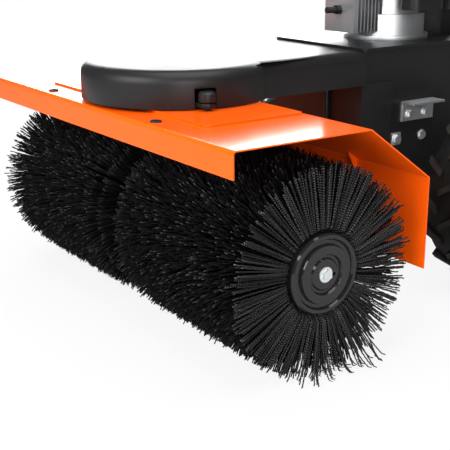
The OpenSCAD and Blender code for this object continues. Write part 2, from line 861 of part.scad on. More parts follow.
module end_bolts() color(zinc) placed() both()
    translate([disc_front - disc_dish, 0, axis_z]) rotate([0, 90, 0]) {
    z_rod(0, washer_t, washer_r);
    translate([0, 0, washer_t])
        hex_bolt(end_head_r, end_head_t, end_bolt_r, washer_t + disc_t + end_bolt_len - end_bolt_spare);
}

// Drive to the brush

module input_shaft() color(steel) placed() {
    z_rod(pinion_low - shaft_spare, pinion_high + 2 * shaft_spare, input_step_r);
    z_rod(pinion_high + shaft_spare, input_high - nut_t, input_r);
    z_rod(input_high - nut_t - over, input_high + shaft_spare, input_step_r);
}

module pinion() color(steel) placed() difference() {
    tip_r = pinion_r + tooth_up;
    low_r = pinion_r - tooth_down;
    tip_a = (tooth_pitch / 2 - tan(tooth_slope) * tooth_up) / tip_r * 180 / PI;
    low_a = (tooth_pitch / 2 + tan(tooth_slope) * tooth_down) / low_r * 180 / PI;
    translate([0, 0, pinion_low]) linear_extrude(height = gear_face)
        polygon([for (k = [0:pinion_teeth - 1]) for (q = [0:3])
            let (a = 360 * k / pinion_teeth + [-low_a, -tip_a, tip_a, low_a][q],
                r = [low_r, tip_r, tip_r, low_r][q])
            [r * cos(a), r * sin(a)]]);
    z_rod(pinion_low - over, pinion_high + over, input_step_r + seat_gap / 2);
}

// Belt pulley with a V groove, for a belt at radius r
module pulley(r, bore) {
    low_r = r - belt_h - groove_spare;
    z_turn([[bore, -pulley_half], [pulley_hub_r, -pulley_half], [pulley_hub_r, -pulley_wall],
        [low_r - pulley_wall, -pulley_wall], [low_r - pulley_wall, -pulley_half],
        [r + belt_sink, -pulley_half], [r + belt_sink, -belt_w / 2 - groove_slant],
        [low_r, -belt_w / 2 + groove_slant], [low_r, belt_w / 2 - groove_slant],
        [r + belt_sink, belt_w / 2 + groove_slant], [r + belt_sink, pulley_half],
        [low_r - pulley_wall, pulley_half], [low_r - pulley_wall, pulley_wall], [pulley_hub_r, pulley_wall],
        [pulley_hub_r, pulley_half], [bore, pulley_half]]);
}

module driven_pulley() color(cast_grey) placed() {
    translate([0, 0, belt_z]) pulley(driven_pulley_r, input_r + seat_gap / 2);
    difference() {
        translate([0, 0, input_high - nut_t + seat_gap]) cylinder(h = nut_t, r = nut_r, $fn = 6);
        z_rod(input_high - nut_t - over, input_high + 2 * over, input_step_r + seat_gap / 2);
    }
}

// Outline around two pulleys
function belt_line(d) = let (r0 = driven_pulley_r + d, r1 = engine_pulley_r + d, b = asin((r0 - r1) / engine_y))
    concat([for (i = [0:belt_steps]) let (a = 180 - b + (180 + 2 * b) * i / belt_steps) r0 * [cos(a), sin(a)]],
        [for (i = [0:belt_steps]) let (a = b + (180 - 2 * b) * i / belt_steps)
            [0, engine_y] + r1 * [cos(a), sin(a)]]);

module brush_belt() color(rubber) placed() translate([0, 0, belt_z]) difference() {
    translate([0, 0, belt_ease - belt_w / 2])
        linear_extrude(height = belt_w - 2 * belt_ease) polygon(belt_line(0));
    translate([0, 0, -belt_w]) linear_extrude(height = 2 * belt_w) polygon(belt_line(-belt_h));
}

// Tractor: boom and covers

module boom() color(black) placed() difference() {
    union() {
        translate([0, 0, boom_low]) linear_extrude(height = boom_t)
            polygon(concat([[boom_half, boom_back], [-boom_half, boom_back]],
                [for (i = [0:fold_steps]) let (a = 180 + 90 * i / fold_steps)
                    [-boom_half + boom_corner, boom_corner - boom_front] + boom_corner * [cos(a), sin(a)]],
                [for (i = [0:fold_steps]) let (a = 270 + 90 * i / fold_steps)
                    [boom_half - boom_corner, boom_corner - boom_front] + boom_corner * [cos(a), sin(a)]]));
        both() translate([boom_half - rib_t, boom_corner - boom_front, boom_low])
            cube([rib_t, boom_back + boom_front - boom_corner, boom_t + rib_h]);
        both() for (lug = [[boom_corner, lug_reach], [boom_back / 2, cover_half - cover_t]])
            translate([boom_half - over, lug.x, boom_top])
                cube([lug.y - boom_half + over, lug_t, lug_t]);
        translate([boom_half - 2 * boom_corner, -knob_y - ear_half, boom_low])
            cube([knob_x - boom_half + 2 * boom_corner, 2 * ear_half, boom_t]);
        translate([knob_x, -knob_y, 0]) z_rod(boom_low, boom_top, ear_half);
    }
    z_rod(boom_low - over, boom_top + over, post_r + seat_gap);
    post_bolts() z_rod(boom_low - over, boom_top + over, bolt_m8 + seat_gap);
    translate([knob_x, -knob_y, 0]) z_rod(boom_low - over, boom_top + over, knob_stem + run_gap);
}

module post_bolts() for (k = [0:5]) rotate(60 * k) translate([post_bolt_r, 0, 0]) children();

// Hollow post that the brush head swings on, with its flange bolted to the boom
module king_post() color(steel) placed() {
    difference() {
        union() {
            z_rod(post_low, boom_top + over, post_r);
            z_rod(boom_top, boom_top + flange_t, post_flange_r);
            post_bolts() translate([0, 0, boom_top + flange_t - over])
                cylinder(h = head_m6_t, r = head_m8, $fn = 6);
            post_bolts() z_rod(boom_low + over, boom_top + over, bolt_m8);
        }
        z_rod(post_low - over, boom_top + flange_t + over, post_bore);
        difference() {
            z_rod(clip_low, clip_low + clip_t + 2 * seat_gap, post_r + over);
            z_rod(clip_low - over, clip_low + clip_t + 2 * over, post_r - clip_groove);
        }
    }
}

module post_ring() color(steel) placed() difference() {
    z_rod(clip_low + seat_gap, clip_low + seat_gap + clip_t, housing_bore - pass_gap);
    z_rod(clip_low - over, clip_low + clip_t + 2 * over, post_r - clip_groove + seat_gap);
}

// Outline of the cover: round about the swivel in front, straight behind, and smaller all round by an inset
function cover_line(inset) = let (r = cover_r - inset, x = cover_half - inset, b = acos(x / r))
    concat([[x, cover_back - inset], [-x, cover_back - inset]],
        [for (i = [0:cover_steps]) let (a = 180 - b + (180 + 2 * b) * i / cover_steps) r * [cos(a), sin(a)]]);

// Rings of the cover, with a rounded top edge
function cover_rings(inset, high, round) = concat([[for (p = cover_line(inset)) [p.x, p.y, cover_low]]],
    [for (i = [0:cover_levels]) let (a = 90 * i / cover_levels)
        [for (p = cover_line(inset + round * (1 - cos(a)))) [p.x, p.y, high - round + round * sin(a)]]]);

// Moulded cover over the boom and the belt
module drive_cover() color(black) placed() difference() {
    cap_skin(cover_rings(0, cover_top, cover_round),
        cover_rings(cover_t, cover_top - cover_t, cover_round - cover_t));
    translate([-cover_half - over, cover_cut, cover_low - over])
        cube([2 * cover_half + 2 * over, cover_spare + over, cover_top]);
    translate([knob_x, -knob_y, 0]) z_rod(cover_low - over, cover_low + knob_cut_h, knob_cut);
}

// Folded cover round the front of the case, with one round bead down it
module front_cover() color(black) placed() {
    difference() {
        translate([-case_half_w - cover_t, nose_reach, case_nose_low])
            cube([case_w + 2 * cover_t, wing_len, nose_top - case_nose_low]);
        translate([-case_half_w, nose_reach + cover_t, case_nose_low - over])
            cube([case_w, wing_len, nose_top - case_nose_low + 2 * over]);
    }
    translate([bead_x, nose_reach + over - bead_r, 0]) z_rod(case_nose_low + over, nose_top - over, bead_r);
}

// Tractor: case

side_line = [[case_front, case_nose_low], [case_front, case_top], [case_back, case_top],
    [case_back, case_tail_low], [wheel_base + belly_back, case_belly], [wheel_base - belly_front, case_belly]];

module case_frame() color(black) placed() difference() {
    union() {
        both() x_sheet(case_half_w - sheet_t, case_half_w, side_line);
        translate([-case_half_w + over, case_front, case_nose_low])
            cube([case_w - 2 * over, sheet_t, nose_top - case_nose_low]);
        translate([-case_half_w + over, case_back - sheet_t, case_tail_low])
            cube([case_w - 2 * over, sheet_t, case_top - case_tail_low]);
    }
    translate([0, wheel_base, axle_z]) x_rod(-case_w, case_w, axle_pass);
}

module engine_deck() color(black) placed() difference() {
    translate([0, (case_front + case_back) / 2, case_top]) linear_extrude(height = deck_t)
        polygon(round_box(case_half_w + deck_lip, case_len / 2 + deck_over, grommet_r));
    translate([0, engine_y, 0]) z_rod(case_top - over, deck_top + over, crank_pass);
}

// Bright brackets that stand out from the case
module side_brackets() color(zinc) placed() both() {
    translate([case_half_w, bracket_y0, bracket_z0]) cube([bracket_t, bracket_len, bracket_h]);
    translate([case_half_w, bracket_y0, bracket_z0 + bracket_h - bracket_t])
        cube([bracket_out, bracket_len, bracket_t]);
    translate([case_half_w, plate_zinc_y - plate_zinc / 2, plate_zinc_z - plate_zinc / 2])
        cube([bracket_t, plate_zinc, plate_zinc]);
}

module side_bolt(x, y, z) translate([x, y, z]) rotate([0, 90, 0]) {
    z_rod(0, bolt_m10_washer_t, bolt_m10_washer);
    translate([0, 0, bolt_m10_washer_t - over]) cylinder(h = bolt_m10_head_t, r = bolt_m10_head, $fn = 6);
}

module case_bolts() color(zinc) placed() both() {
    side_bolt(case_half_w + bracket_t, bracket_y0 + bracket_len / 4, bracket_z0 + bracket_h / 3);
    side_bolt(case_half_w + bracket_t, bracket_y0 + 3 * bracket_len / 4, bracket_z0 + bracket_h / 3);
    side_bolt(case_half_w + bracket_t, plate_zinc_y, plate_zinc_z);
    side_bolt(case_half_w, side_bolt_y, side_bolt_z);
    side_bolt(case_half_w, side_bolt_y + bracket_len, side_bolt_z);
}

module transaxle() color(cast_grey) placed() translate([0, wheel_base, axle_z]) difference() {
    union() {
        x_rod(-gear_drum_half, gear_drum_half, gear_drum_r);
        x_rod(-case_half_w + sheet_t, case_half_w - sheet_t, axle_tube_r);
        translate([0, tower_back, 0]) z_rod(-tower_r, tower_h, tower_r);
        translate([-tower_r, 0, -tower_r]) cube([2 * tower_r, tower_back, 2 * tower_r]);
        translate([0, tower_back, 0]) z_rod(tower_h - over, tower_h + tower_cap_h, tower_cap_r);
    }
    both() x_rod(axle_in - over, case_w, axle_r + run_gap);
}

// Clamp screw of the swivel, with its round black knob
module clamp_knob() color(black) placed() translate([knob_x, -knob_y, 0]) {
    z_turn([[0, plate_top + pass_gap], [knob_stem, plate_top + pass_gap], [knob_stem, boom_top + pass_gap],
        [knob_waist, boom_top + pass_gap], [knob_waist, boom_top + knob_foot],
        [knob_r - knob_foot, boom_top + knob_foot], [knob_r, boom_top + 2 * knob_foot],
        [knob_r, boom_top + knob_h - knob_edge], [knob_r - knob_edge, boom_top + knob_h],
        [0, boom_top + knob_h]]);
}

// Engine

module engine_shaft() color(steel) placed() translate([0, engine_y, 0])
    z_rod(belt_z - pulley_half - crank_spare, deck_top + base_t + bore_h - crank_spare, crank_r);

module engine_pulley() color(cast_grey) placed() translate([0, engine_y, belt_z]) difference() {
    low_r = engine_pulley_r - belt_h - groove_spare;
    z_turn([[0, -pulley_half], [engine_pulley_r + belt_sink, -pulley_half],
        [engine_pulley_r + belt_sink, -belt_w / 2 - groove_slant], [low_r, -belt_w / 2 + groove_slant],
        [low_r, belt_w / 2 - groove_slant],
        [engine_pulley_r + belt_sink, belt_w / 2 + groove_slant], [engine_pulley_r + belt_sink, pulley_half],
        [0, pulley_half]]);
    z_rod(-pulley_half - over, pulley_half + over, crank_r + seat_gap / 2);
}

module engine_base() color(cast_grey) placed() translate([0, engine_y, deck_top]) {
    difference() {
        union() {
            z_rod(0, base_t, base_r);
            z_rod(base_t - over, base_t + sump_h, sump_r);
            z_rod(base_t + sump_h - over, base_t + block_h, block_r);
        }
        z_rod(-over, base_t + bore_h, crank_r + run_gap);
        translate([-cyl_half - over, -sump_r - over, base_t + cyl_z - cyl_half - over])
            cube([2 * cyl_half + 2 * over, sump_r - cyl_core + over, 2 * cyl_half + 2 * over]);
    }
}

// Finned cylinder lying towards the front
module engine_cylinder() color(cast_grey) placed()
    translate([0, engine_y - cyl_core, deck_top + base_t + cyl_z]) rotate([90, 0, 0]) {
        z_rod(seat_gap, cyl_len + head_t, cyl_core);
        for (k = [1:fin_count])
            translate([-cyl_half, -cyl_half, k * cyl_len / (fin_count + 1)])
                cube([2 * cyl_half, 2 * cyl_half, fin_t]);
        translate([-cyl_half, -cyl_half, cyl_len]) cube([2 * cyl_half, 2 * cyl_half, head_t]);
    }

module spark_plug() color(black) placed()
    translate([0, engine_y - cyl_core - cyl_len - head_t, deck_top + base_t + cyl_z]) rotate([90, 0, 0]) {
        cylinder(h = plug_hex_t, r = plug_hex, $fn = 6);
        z_rod(plug_hex_t - over, plug_len, plug_r);
    }

module blower_housing() color(black) placed() translate([0, engine_y, 0])
    skin(box_rings(blower_half, blower_deep, blower_corner, blower_low,
        blower_low + blower_h, blower_round));

starter_z = blower_low + blower_h;

module starter_cover() color(black) placed() translate([0, engine_y, starter_z]) difference() {
    z_turn([[0, 0], [starter_r, 0], [starter_r, starter_h - starter_bevel],
        [starter_r - starter_bevel, starter_h], [0, starter_h]]);
    for (k = [1:slot_count])
        rotate(360 * k / slot_count) translate([slot_in, -slot_w / 2, starter_h - slot_deep])
            cube([slot_len, slot_w, 2 * slot_deep]);
}

// Hand pull of the starter, seated on the blower housing's rear corner
module starter_handle() color(black) placed()
    translate([blower_half / 2, engine_y + pull_back, starter_z + starter_h]) {
        z_rod(pass_gap, 2 * pull_r, pull_stem);
        translate([0, 0, 2 * pull_r]) rotate([0, 90, 45]) z_rod(-pull_half, pull_half, pull_r);
    }

module fuel_tank() color(black) placed() translate([0, tank_y, 0]) {
    skin(box_rings(tank_half, tank_deep / 2, tank_corner, deck_top + tank_lift, tank_top, tank_round));
    translate([cap_x, 0, 0]) z_rod(tank_top - neck_h, tank_top + neck_h, cap_neck_r);
    translate([-tank_half / 2, -tank_deep / 4, deck_top]) cube([tank_half, tank_deep / 2, tank_lift + over]);
}

module fuel_cap() color(black) placed()
    translate([cap_x, tank_y, tank_top + neck_h + pass_gap])
        difference() {
            z_turn([[0, 0], [cap_r, 0], [cap_r, cap_h - cap_edge], [cap_r - cap_edge, cap_h], [0, cap_h]]);
            for (k = [1:grip_flats])
                rotate(360 * k / grip_flats) translate([cap_r + flute_in, 0, 0])
                    z_rod(flute_r, cap_h + over, flute_r);
        }

// Box on the engine's side with a stub that reaches for the block, drawn on the -X side
module side_box(w, d, h, r, stub_z) {
    skin(box_rings(w / 2, d / 2, r, 0, h, round_share * r));
    translate([w / 2 - over, 0, stub_z]) x_rod(0, side_gap + over - seat_gap, pipe_r);
}

module muffler() color(steel) placed()
    translate([-block_r - muffler_w / 2 - side_gap, engine_y, deck_top + muffler_lift]) {
        side_box(muffler_w, muffler_d, muffler_h, muffler_corner, muffler_h / 2);
        translate([-muffler_w / 2 - pipe_len, 0, muffler_h / 2]) x_rod(0, pipe_len + over, pipe_r);
    }

module air_cleaner() color(black) placed() mirror([1, 0, 0])
    translate([-block_r - filter_w / 2 - side_gap, engine_y, deck_top + filter_lift])
        side_box(filter_w, filter_d, filter_h, filter_corner, filter_h / 2);

// Wheels

function swell(c) = sign(c) * pow(abs(c), tyre_power);
function tyre_arc(t) = [for (i = [0:tyre_steps]) let (a = tyre_start + (180 - 2 * tyre_start) * i / tyre_steps)
    [tyre_mid + (tyre_tall - t) * swell(sin(a)), (tyre_w / 2 - t) * swell(cos(a))]];

// Tyre with slanting lugs in two rows
module tyre() translate([0, wheel_base, axle_z]) {
    x_turn(concat([[rim_r + seat_gap, bead_w], [rim_r + rim_flange + pass_gap, bead_w]], tyre_arc(0),
        [[rim_r + rim_flange + pass_gap, -bead_w], [rim_r + seat_gap, -bead_w]],
        [[rim_r + seat_gap, tyre_wall - bead_w]], backwards(tyre_arc(tyre_wall)),
        [[rim_r + seat_gap, bead_w - tyre_wall]]));
    for (k = [1:lug_count])
        for (s = [-1, 1])
            rotate([360 * (k + (s + 1) / 4) / lug_count, 0, 0]) translate([0, 0, lug_root])
                linear_extrude(height = lug_top - lug_root)
                    polygon([for (p = [[lug_in, -1, -1], [lug_out, 1, -1], [lug_out, 1, 1], [lug_in, -1, 1]])
                        [s * p[0], p[1] * lug_sweep / 2 + p[2] * lug_w / 2]]);
}

module tyre_left() color(rubber) placed() translate([track_half, 0, 0]) tyre();

module tyre_right() color(rubber) placed() mirror([1, 0, 0]) translate([track_half, 0, 0]) tyre();

module rim() translate([0, wheel_base, axle_z]) difference() {
    union() {
        x_turn([[rim_r - rim_t, -rim_half], [rim_r + rim_flange, -rim_half],
            [rim_r + rim_flange, rim_t - rim_half], [rim_r, rim_t - rim_half],
            [rim_r, rim_half - rim_t], [rim_r + rim_flange, rim_half - rim_t],
            [rim_r + rim_flange, rim_half], [rim_r - rim_t, rim_half], [rim_r - rim_t, web_off + wheel_web_t],
            [wheel_hub_r, web_off + wheel_web_t], [wheel_hub_r, wheel_hub_half],
            [axle_r + seat_gap / 2, wheel_hub_half],
            [axle_r + seat_gap / 2, -wheel_hub_half], [wheel_hub_r, -wheel_hub_half], [wheel_hub_r, web_off],
            [rim_r - rim_t, web_off]]);
    }
    for (k = [1:wheel_holes])
        rotate([360 * k / wheel_holes, 0, 0]) translate([0, 0, wheel_hole_at])
            x_rod(web_off - over, web_off + wheel_web_t + over, wheel_hole_r);
}

module rim_left() color(black) placed() translate([track_half, 0, 0]) rim();

module rim_right() color(black) placed() mirror([1, 0, 0]) translate([track_half, 0, 0]) rim();

module axle() translate([0, wheel_base, axle_z]) {
    x_rod(axle_in, track_half + wheel_hub_half + nut_t / 2, axle_r);
    translate([track_half + wheel_hub_half + pass_gap, 0, 0]) rotate([0, 90, 0])
        cylinder(h = nut_t, r = axle_r + axle_nut, $fn = 6);
}

module axle_left() color(steel) placed() axle();

module axle_right() color(steel) placed() mirror([1, 0, 0]) axle();

// Handles

handle_x = handle_w / 2;
foot_x = case_half_w + tube_r + pass_gap;
panel_share = (bend_y - panel_back - knee_y) / (bend_y - knee_y);
panel_at = [0, bend_y - panel_back, knee_z + panel_share * (bend_z - knee_z)];
lever_at = [handle_x - tube_r - lever_boss_w / 2 - lever_side, bend_y, bend_z];

module handle() {
    bent_rod([[foot_x, foot_y, foot_z], [foot_x, knee_y, knee_z], [handle_x, bend_y, bend_z],
        [handle_x, handle_end_y, handle_h]], tube_r, tube_bend);
    translate([case_half_w, foot_y, foot_z]) x_rod(0, tube_r + pass_gap, foot_r);
    translate(lever_at) x_rod(-lever_boss_w / 2 - pass_gap - lever_cap_t, tube_r + lever_boss_w, lever_pin_r);
    translate(lever_at)
        x_rod(-lever_boss_w / 2 - pass_gap - lever_cap_t, -lever_boss_w / 2 - pass_gap, lever_cap_r);
}

module handle_left() color(black) placed() handle();

module handle_right() color(black) placed() mirror([1, 0, 0]) handle();

module grips() color(rubber) placed() both() {
    a = [handle_x, bend_y, bend_z];
    b = [handle_x, handle_end_y, handle_h];
    d = unit(b - a);
    difference() {
        rod(b - grip_len * d, b, grip_r);
        rod(b - 2 * grip_len * d, b + 2 * over * d, tube_r + seat_gap);
    }
}

// Control panel on a cross tube between the handles, with two forks for the small levers
module control_panel() color(black) placed() difference() {
    translate(panel_at) {
        skin(box_rings(panel_half, panel_deep / 2, panel_corner, -panel_h / 2, panel_h / 2,
            round_share * panel_corner));
        x_rod(-handle_x, handle_x, bridge_r);
        for (x = [throttle_x, shift_x])
            translate([x, 0, panel_h / 2]) {
                for (s = [-1, 1])
                    translate([s * (stick_boss_w / 2 + pass_gap + ear_t / 2) - ear_t / 2, 0, 0]) {
                        translate([0, -ear_r, -over]) cube([ear_t, 2 * ear_r, ear_h - ear_r + over]);
                        translate([0, 0, ear_h - ear_r]) x_rod(0, ear_t, ear_r);
                    }
                translate([0, 0, ear_h - ear_r])
                    x_rod(-stick_boss_w / 2 - pass_gap - over, stick_boss_w / 2 + pass_gap + over, lever_pin_r);
            }
    }
    both() rod([foot_x, knee_y, knee_z], [handle_x, bend_y, bend_z], tube_r + seat_gap);
    both() translate(panel_at) x_rod(handle_x - tube_r, 2 * handle_x, 2 * bridge_r);
}

// Hand lever over a grip, turning on a pin in the handle
module hand_lever() difference() {
    d = unit([0, handle_end_y - bend_y, handle_h - bend_z]);
    u = [0, -d.z, d.y];
    union() {
        translate(lever_at) x_rod(-lever_boss_w / 2, lever_boss_w / 2, lever_boss_r);
        bent_rod([lever_at, lever_at + lever_boss_r * u, [handle_x, lever_at.y, lever_at.z] + lever_rise * u,
            [handle_x, lever_at.y, lever_at.z] + lever_rise * u + lever_len * d], lever_r, lever_bend);
    }
    translate(lever_at) x_rod(-handle_x, handle_x - lever_at.x, lever_pin_r + run_gap);
}

module brush_lever() color(black) placed() hand_lever();

module drive_lever() color(black) placed() mirror([1, 0, 0]) hand_lever();

module stick(x) translate(panel_at + [x, 0, panel_h / 2 + ear_h - ear_r]) {
    difference() {
        union() {
            x_rod(-stick_boss_w / 2, stick_boss_w / 2, stick_boss_r);
            z_rod(0, stick_len, stick_r);
        }
        x_rod(-stick_boss_w, stick_boss_w, lever_pin_r + run_gap);
    }
    translate([0, 0, stick_len]) sphere(r = stick_knob_r);
}

module throttle_lever() color(black) placed() stick(throttle_x);

module shift_lever() color(black) placed() stick(shift_x);

hood();
top_plate();
hood_grommets();
swivel_housing();
swivel_bushes();
gear_case_left();
gear_case_right();
shaft_bearings();
shaft_seals();
head_bolts();
brush_shaft();
crown_gear();
core_left();
core_right();
bristles_left();
bristles_right();
end_disc_left();
end_disc_right();
end_bolts();
input_shaft();
pinion();
driven_pulley();
case_frame();
engine_deck();
boom();
king_post();
post_ring();
drive_cover();
front_cover();
side_brackets();
case_bolts();
transaxle();
brush_belt();
clamp_knob();
engine_shaft();
engine_pulley();
engine_base();
engine_cylinder();
blower_housing();
starter_cover();
starter_handle();
fuel_tank();
fuel_cap();
muffler();
air_cleaner();
spark_plug();
tyre_left();
tyre_right();
rim_left();
rim_right();
axle_left();
axle_right();
handle_left();
handle_right();
control_panel();
grips();
brush_lever();
drive_lever();
throttle_lever();
shift_lever();
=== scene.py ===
"""Looks of a walk-behind power brush sweeper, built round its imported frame.

The frame's solids keep their shapes and get finishes. The bristles are new pieces: thousands of crimped
strands, worked out as whole arrays. Lengths are metres, the floor is z = 0, the front is -Y and the near end
is +X.
"""

import json
import logging
import math
from dataclasses import dataclass
from enum import Enum

import bpy
import numpy as np
from mathutils import Matrix, Vector


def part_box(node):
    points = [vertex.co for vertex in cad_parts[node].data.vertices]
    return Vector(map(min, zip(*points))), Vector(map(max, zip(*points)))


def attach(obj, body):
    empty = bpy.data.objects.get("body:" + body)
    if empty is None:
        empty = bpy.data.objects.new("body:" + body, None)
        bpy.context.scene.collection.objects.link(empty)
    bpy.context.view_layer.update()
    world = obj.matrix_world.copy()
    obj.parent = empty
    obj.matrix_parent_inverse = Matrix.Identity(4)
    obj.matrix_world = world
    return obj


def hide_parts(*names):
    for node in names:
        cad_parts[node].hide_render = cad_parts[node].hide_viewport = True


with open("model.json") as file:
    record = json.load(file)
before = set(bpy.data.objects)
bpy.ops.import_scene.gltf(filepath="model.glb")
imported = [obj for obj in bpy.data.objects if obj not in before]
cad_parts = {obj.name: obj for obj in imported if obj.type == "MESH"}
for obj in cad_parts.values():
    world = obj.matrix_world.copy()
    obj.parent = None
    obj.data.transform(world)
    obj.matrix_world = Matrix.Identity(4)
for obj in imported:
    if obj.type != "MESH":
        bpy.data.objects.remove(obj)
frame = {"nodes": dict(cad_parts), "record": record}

LOG = logging.getLogger("sweeper")
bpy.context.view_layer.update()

Colour = tuple[float, float, float]
Place = tuple[float, float, float]
Triple = tuple[float, float, float]
Number = "float | int | Link"
NOISE_MIDDLE = 0.5
STRAND_SIDES = 3


class Link:
    """One output of a graph. Arithmetic on it adds Math nodes."""

    def __init__(self, graph: "Graph", socket: bpy.types.NodeSocket) -> None:
        """Wraps an output socket.

        Args:
            graph: the graph that owns the socket.
            socket: the output socket.
        """
        self.graph = graph
        self.socket = socket

    def beside(self, name: str) -> "Link":
        """Another output of the same node.

        Args:
            name: the output's name.
        Returns:
            That output.
        """
        return Link(self.graph, self.socket.node.outputs[name])

    def math(self, operation: str, *others: Number) -> "Link":
        """Adds a Math node with this output first.

        Args:
            operation: the Math node's operation.
            others: the other inputs, links or numbers.
        Returns:
            The node's value.
        """
        return self.graph.math(operation, self, *others)

    def __add__(self, other: Number) -> "Link":
        """Sum."""
        return self.math("ADD", other)

    def __radd__(self, other: Number) -> "Link":
        """Sum with a number in front."""
        return self.graph.math("ADD", other, self)

    def __sub__(self, other: Number) -> "Link":
        """Difference."""
        return self.math("SUBTRACT", other)

    def __rsub__(self, other: Number) -> "Link":
        """Difference from a number."""
        return self.graph.math("SUBTRACT", other, self)

    def __mul__(self, other: Number) -> "Link":
        """Product."""
        return self.math("MULTIPLY", other)

    def __rmul__(self, other: Number) -> "Link":
        """Product with a number in front."""
        return self.graph.math("MULTIPLY", other, self)

    def __truediv__(self, other: Number) -> "Link":
        """Quotient."""
        return self.math("DIVIDE", other)

    def __rtruediv__(self, other: Number) -> "Link":
        """Quotient of a number by this value."""
        return self.graph.math("DIVIDE", other, self)

    def __pow__(self, other: Number) -> "Link":
        """Power."""
        return self.math("POWER", other)

    def __rpow__(self, other: Number) -> "Link":
        """Power of a number."""
        return self.graph.math("POWER", other, self)


class Graph:
    """A node tree that is written as expressions."""

    def __init__(self, tree: bpy.types.NodeTree) -> None:
        """Empties a node tree and keeps it.

        Args:
            tree: the tree of a material, a world or a modifier.
        """
        self.tree = tree
        tree.nodes.clear()

    def add(self, kind: str, settings: dict | None = None, sockets: dict | None = None,
            out: int | str = 0) -> Link:
        """Adds a node of any kind.

        Args:
            kind: the node's type name.
            settings: its settings, set first.
            sockets: values or links for its inputs, by name or number.
            out: the output that is returned, by name or number.
        Returns:
            That output.
        """
        node = self.tree.nodes.new(kind)
        for name, value in (settings or {}).items():
            setattr(node, name, value)
        for name, value in (sockets or {}).items():
            if isinstance(value, Link):
                self.tree.links.new(value.socket, node.inputs[name])
            else:
                node.inputs[name].default_value = value
        return Link(self, node.outputs[out]) if node.outputs else Link(self, node.inputs[0])

    def math(self, operation: str, *values: Number) -> Link:
        """Adds a Math node.

        Args:
            operation: its operation.
            values: its inputs, links or numbers.
        Returns:
            Its value.
        """
        return self.add("ShaderNodeMath", {"operation": operation}, dict(enumerate(values)))

    def vector(self, operation: str, *values: "Triple | Vector | Link") -> Link:
        """Adds a Vector Math node.

        Args:
            operation: its operation.
            values: its inputs, links or triples of numbers.
        Returns:
            Its vector.
        """
        return self.add("ShaderNodeVectorMath", {"operation": operation}, dict(enumerate(values)))

    def length(self, vector: Link) -> Link:
        """Length of a vector."""
        return self.add("ShaderNodeVectorMath", {"operation": "LENGTH"}, {0: vector}, out="Value")

    def mix(self, share: Number, low: "Colour | Link", high: "Colour | Link") -> Link:
        """Mixes two colours.

        Args:
            share: how much of the second, from 0 to 1.
            low: the first colour.
            high: the second colour.
        Returns:
            The mixed colour.
        """
        def rgba(colour: "Colour | Link") -> "tuple | Link":
            """A colour as a socket takes it."""
            return colour if isinstance(colour, Link) else (*colour, 1.0)

        settings = {"data_type": "RGBA", "blend_type": "MIX"}
        return self.add("ShaderNodeMix", settings, {0: share, 6: rgba(low), 7: rgba(high)}, out=2)

    def place(self) -> Link:
        """Object coordinates, in metres of the shared frame."""
        return self.add("ShaderNodeTexCoord", out="Object")

    def noise(self, scale: float, detail: float = 2.0, rough: float = 0.5) -> Link:
        """Noise over the object's own space, from 0 to 1.

        Args:
            scale: waves in a metre.
            detail: octaves.
            rough: strength of the finer octaves.
        Returns:
            The noise's value.
        """
        sockets = {"Vector": self.place(), "Scale": scale, "Detail": detail, "Roughness": rough}
        return self.add("ShaderNodeTexNoise", None, sockets)

    def attribute(self, name: str) -> Link:
        """A number that the mesh carries at its points.

        Args:
            name: the attribute's name.
        Returns:
            Its value.
        """
        return self.add("ShaderNodeAttribute", {"attribute_name": name}, out="Fac")

    def bump(self, height: Link, depth: float) -> Link:
        """A normal that follows a height.

        Args:
            height: the height, from 0 to 1.
            depth: how far 1 stands over 0, in metres.
        Returns:
            The normal.
        """
        return self.add("ShaderNodeBump", None, {"Height": height, "Distance": depth, "Strength": 1.0})

    def surface(self, sockets: dict) -> None:
        """Ends the graph in one Principled shader.

        Args:
            sockets: the shader's inputs, by name.
        """
        shader = self.add("ShaderNodeBsdfPrincipled", None, sockets)
        self.add("ShaderNodeOutputMaterial", None, {"Surface": shader})


def new_graph(name: str) -> tuple[bpy.types.Material, Graph]:
    """Makes an empty material.

    Args:
        name: its name.
    Returns:
        The material and its graph.
    """
    material = bpy.data.materials.new(name)
    material.use_nodes = True
    return material, Graph(material.node_tree)


@dataclass(frozen=True)
class Paint:
    """Paint on metal: a clear gloss over a colour, with a faint peel and a cloudy tone."""

    name: str
    colour: Colour
    shade: Colour
    rough: float = 0.25
    rough_spread: float = 0.08
    specular: float = 0.35
    coat: float = 0.0
    coat_rough: float = 0.05
    peel_scale: float = 420.0
    peel_depth: float = 0.00004
    peel_detail: float = 1.0
    cloud_scale: float = 7.0
    cloud_detail: float = 3.0

    def material(self) -> bpy.types.Material:
        """Builds the paint's material."""
        made, graph = new_graph(self.name)
        cloud = graph.noise(self.cloud_scale, self.cloud_detail)
        peel = graph.noise(self.peel_scale, self.peel_detail)
        graph.surface({
            "Base Color": graph.mix(cloud, self.colour, self.shade),
            "Roughness": self.rough + self.rough_spread * (cloud - NOISE_MIDDLE),
            "Specular IOR Level": self.specular,
            "Coat Weight": self.coat,
            "Coat Roughness": self.coat_rough,
            "Normal": graph.bump(peel, self.peel_depth),
        })
        return made


